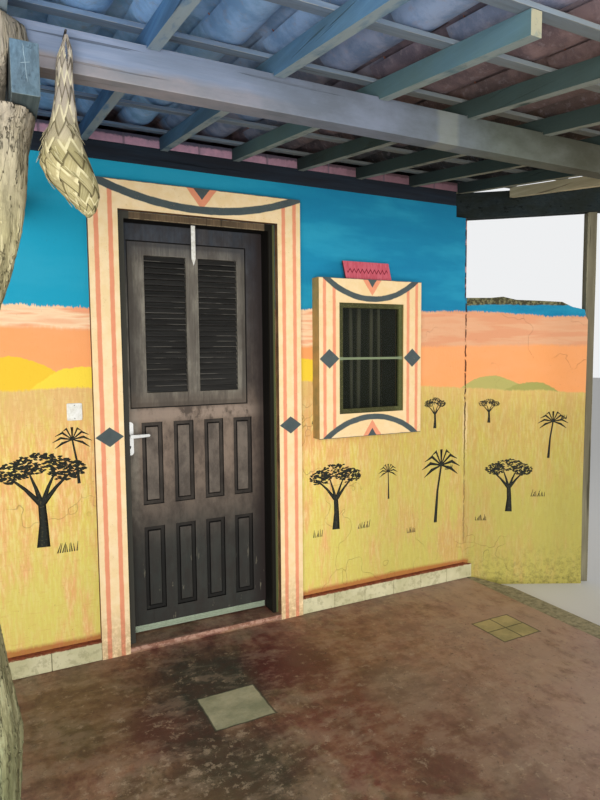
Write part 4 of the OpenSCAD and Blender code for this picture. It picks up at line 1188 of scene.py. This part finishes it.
# Woven ornament: a basket-like drop plaited from split palm leaf, about 450 mm long, hung from a nail
# in the veranda beam. The strips cross over and under on the slant, and have dried to straw and olive.
drop_rings = (
    (0.041, 0.000, 0.005), (0.040, 0.015, 0.020), (0.025, 0.054, 0.046), (0.008, 0.084, 0.059),
    (-0.009, 0.124, 0.063), (-0.014, 0.176, 0.048), (-0.010, 0.241, 0.031), (-0.007, 0.303, 0.023),
    (-0.006, 0.367, 0.019), (0.001, 0.424, 0.010), (0.002, 0.450, 0.005))


def drop_at(height):
    """The drop's sideways shift and radius at a height above its tip."""
    for one, other in zip(drop_rings, drop_rings[1:]):
        if height <= other[1]:
            share = (height - one[1]) / (other[1] - one[1])
            return one[0] + (other[0] - one[0]) * share, one[2] + (other[2] - one[2]) * share
    return drop_rings[-1][0], drop_rings[-1][2]


def new_strip(steps, wide_steps, tone):
    """Adds a flat strip of leaf with its own tone, and gives back its points."""
    first, first_face = len(strips.verts), len(strips.faces)
    bmesh.ops.create_grid(strips, x_segments=steps, y_segments=wide_steps, size=0.5, calc_uvs=True)
    strips.verts.ensure_lookup_table()
    strips.faces.ensure_lookup_table()
    for face in strips.faces[first_face:]:
        face[strip_tone] = tone
    return strips.verts[first:]


low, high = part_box("woven_ornament")
drop_x, drop_y, drop_h = -1.180, (low.y + high.y) / 2, 0.45
hand_strips, strip_steps, flat = 8, 170, 0.8
climb = drop_h / strip_steps
loop_from, loop_h = 0.362, 0.088
slit_from, slit_h, half_slit = 0.372, 0.070, 0.0042
turns = [0.0]
for i in range(strip_steps):
    steep = math.radians(56 + 22 * min(1.0, max(0.0, (i * climb - 0.12) / 0.14)))
    turns.append(turns[-1] + climb / (max(drop_at(i * climb)[1], 0.011) * math.tan(steep)))
strips = bmesh.new()
strips.loops.layers.uv.new("strip")
strip_tone = strips.faces.layers.float.new("tone")
chance = random.Random(3)
for hand in (1, -1):
    for k in range(hand_strips):
        own_tone, own_width = chance.random(), chance.uniform(0.86, 0.99)
        own_turn = chance.uniform(-0.06, 0.06)
        for vert in new_strip(strip_steps, 5, own_tone):
            step = (vert.co.x + 0.5) * strip_steps
            wound, side = turns[min(strip_steps, round(step))], vert.co.y * 2
            shift, radius = drop_at(step * climb)
            angle = (2 * math.pi * (k + own_turn) / hand_strips + hand * wound
                     + side * own_width * math.pi / hand_strips)
            crossing = math.cos(hand_strips * wound + hand * side * math.pi / 2)
            lift = hand * max(-1.0, min(1.0, 2.2 * crossing)) * min(0.0016, radius * 0.10)
            reach = radius - 0.0012 + lift + 0.0006 * (0.25 - side * side / 4)
            in_loop = step * climb - loop_from
            open_loop = max(0.0, math.sin(math.pi * in_loop / loop_h)) if in_loop > 0 else 0.0
            sideways = reach * math.cos(angle)
            vert.co = (drop_x + shift + sideways * (1 + 0.25 * open_loop),
                       drop_y + reach * flat * math.sin(angle), low.z + step * climb)
for i in range(30):
    hung, start = chance.uniform(0.045, 0.230), chance.uniform(0.55, 1.75) * math.pi
    own_tone = chance.random()
    for vert in new_strip(6, 2, own_tone):
        share, side = vert.co.x + 0.5, vert.co.y * 2
        height = hung - share * 0.026
        shift, radius = drop_at(height)
        angle = start + share * 0.30 + side * (1 - share * 0.9) * 0.007 / radius
        reach = radius + 0.0012 + share * 0.008
        vert.co = (drop_x + shift + reach * math.cos(angle),
                   drop_y + reach * flat * math.sin(angle), low.z + height)
slit = []
for face in strips.faces:
    middle = face.calc_center_median()
    height = (middle.z - low.z - slit_from) / slit_h
    if 0 < height < 1 and abs(middle.x - drop_x - 0.001) < half_slit * math.sin(math.pi * height):
        slit.append(face)
bmesh.ops.delete(strips, geom=slit, context="FACES")
bmesh.ops.recalc_face_normals(strips, faces=strips.faces)
bmesh.ops.solidify(strips, geom=strips.faces[:], thickness=0.0006)
faced(strips, 50)
palm = Finish("palm_leaf")
strip_uv = palm.node("UVMap", {"uv_map": "strip"}).outputs[0]
along_strip = palm.node("Mapping", sockets={"Vector": strip_uv, "Scale": (3, 40, 1)}).outputs[0]
palm_fibre = Amount(palm.tree, palm.node("TexNoise", sockets={
    "Vector": along_strip, "Scale": 1.0, "Detail": 4.0}).outputs["Fac"])
x, y, z = palm.axes()
tint = palm.noise(0.035, 4, 0.6)
across_strip = Amount(palm.tree, palm.node("SeparateXYZ", sockets={"Vector": strip_uv}).outputs[1])
strip_shade = palm.mark("tone")
# Painted light: one edge of each strip is lit pale, and the other is in dark painted shade.
highlit_lip = across_strip.over(0.80, 0.08) * tint.over(0.46, 0.1)
shaded_lip = across_strip.under(0.13, 0.08)
colour = palm.coats(
    "9C9069",
    (strip_shade.over(0.5, 0.8), "766E49"),
    (tint.over(0.50, 0.2) * 0.65, "8E8458"),
    ((z - tint * 0.1).over(2.10, 0.16), palm.pick(strip_shade, "A89E94", "84796F")),
    (palm_fibre.over(0.55, 0.2) * 0.4, "CCC298"),
    (highlit_lip * 0.45, "E4DAB0"),
    (shaded_lip * 0.75, "453C24"))
palm.dress(colour, 0.6 + palm_fibre * 0.2)
palm.relief(palm_fibre, 0.0006)
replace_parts(fresh("woven_ornament_strips", strips, palm), "woven_ornament")
nail_steel = metal_finish("nail_steel", "6A6660", "4A423C", 0.5, "6B4028")
paint_nodes(nail_steel, "ornament_nail")


# Small fittings: a white plastic switch plate held by two screws, and over the window a thin board
# painted rose red by hand. The board carries only a plain zigzag.
low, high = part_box("switch_plate")
plate = bmesh.new()
add_box(plate, low, (high.x, high.y - 0.0004, high.z))
upright_edges = [e for e in plate.edges if abs(e.verts[0].co.y - e.verts[1].co.y) > 0.004]
bmesh.ops.bevel(plate, geom=upright_edges, offset=0.006, offset_type="OFFSET", affect="EDGES",
                segments=4, profile=0.5, material=-1)
ease(plate, 0.002, 3, sharp=60)
faced(plate)
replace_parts(fresh("switch_plate_cover", plate, white_plastic), "switch_plate")
plate_screws = bmesh.new()
for height in (low.z + 0.010, high.z - 0.010):
    disc(plate_screws, ((low.x + high.x) / 2, low.y, height), 0.003, 0.002, 0.0025)
ease(plate_screws, 0.0004)
fresh("switch_plate_screws", plate_screws, galvanised)
sign_paint = Finish("sign_paint")
x, y, z = sign_paint.axes()
low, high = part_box("sign_board")
centre, zigzag, half_mark = (low + high) / 2, 0.014, 0.140
strokes = sign_paint.noise(0.012, 5, 0.7, (1, 1, 0.2))
swing = x.math("PINGPONG", x, zigzag) - zigzag / 2
mark = (z - centre.z - swing * 1.6 + strokes * 0.004).size().under(0.0045, 0.002)
inside = (x - centre.x).size().under(half_mark, 0.003)
# Painted shade: the board's side faces are dark brown.
shaded_sides = y.over(low.y + 0.0015, 0.001)
colour = sign_paint.coats(
    "B84A58",
    (strokes.over(0.5, 0.3), "CC6874"),
    (mark * inside, "701628"),
    (shaded_sides, "4A2A28"))
sign_paint.dress(colour, 0.6)
sign_paint.relief(strokes, 0.0006)
redo("sign_board", "sign_board_painted", sign_paint, 0.0015, 2)


# Studio: a pale floor that keeps the shadows, pale surroundings, and broad soft lamps in front and
# low enough for their light to reach in under the eave.
ground = bmesh.new()
bmesh.ops.create_grid(ground, x_segments=1, y_segments=1, size=30)
studio_floor = put("studio_floor", meshed("studio_floor", ground))
floor_paint = Finish("studio_floor")
floor_paint.dress("D8D8D6", 0.9)
studio_floor.data.materials.append(floor_paint.material)
world = bpy.data.worlds.new("studio")
bpy.context.scene.world = world
world.use_nodes = True
sky = world.node_tree
rays = sky.nodes.new("ShaderNodeLightPath")
seen, mirrored, through = (Amount(sky, rays.outputs[f"Is {kind} Ray"])
                           for kind in ("Camera", "Glossy", "Transmission"))
tint = sky.nodes.new("ShaderNodeMix")
tint.data_type = "RGBA"
lighting, backdrop = (0.50, 0.50, 0.50, 1), (0.86, 0.87, 0.88, 1)
tint.inputs[6].default_value, tint.inputs[7].default_value = lighting, backdrop
sky.links.new(seen.most(mirrored).most(through).socket, tint.inputs[0])
sky.links.new(tint.outputs[2], sky.nodes["Background"].inputs["Color"])
for name, spot, aim, size, watts in (
        ("front_lamp", (-2.6, -8.0, 1.9), (0.2, -2.0, 1.4), (5.0, 2.6), 330),
        ("low_lamp", (-2.6, -6.4, 0.35), (-0.9, -2.9, 2.5), (3.0, 0.6), 75),
        ("right_lamp", (5.5, -4.5, 1.6), (0.6, -2.2, 1.5), (3.0, 2.4), 60)):
    light = bpy.data.lights.new(name, "AREA")
    light.shape, light.size, light.size_y, light.energy = "RECTANGLE", size[0], size[1], watts
    lamp = put(name, light)
    lamp.location = spot
    lamp.rotation_euler = (Vector(aim) - Vector(spot)).to_track_quat("-Z", "Y").to_euler()
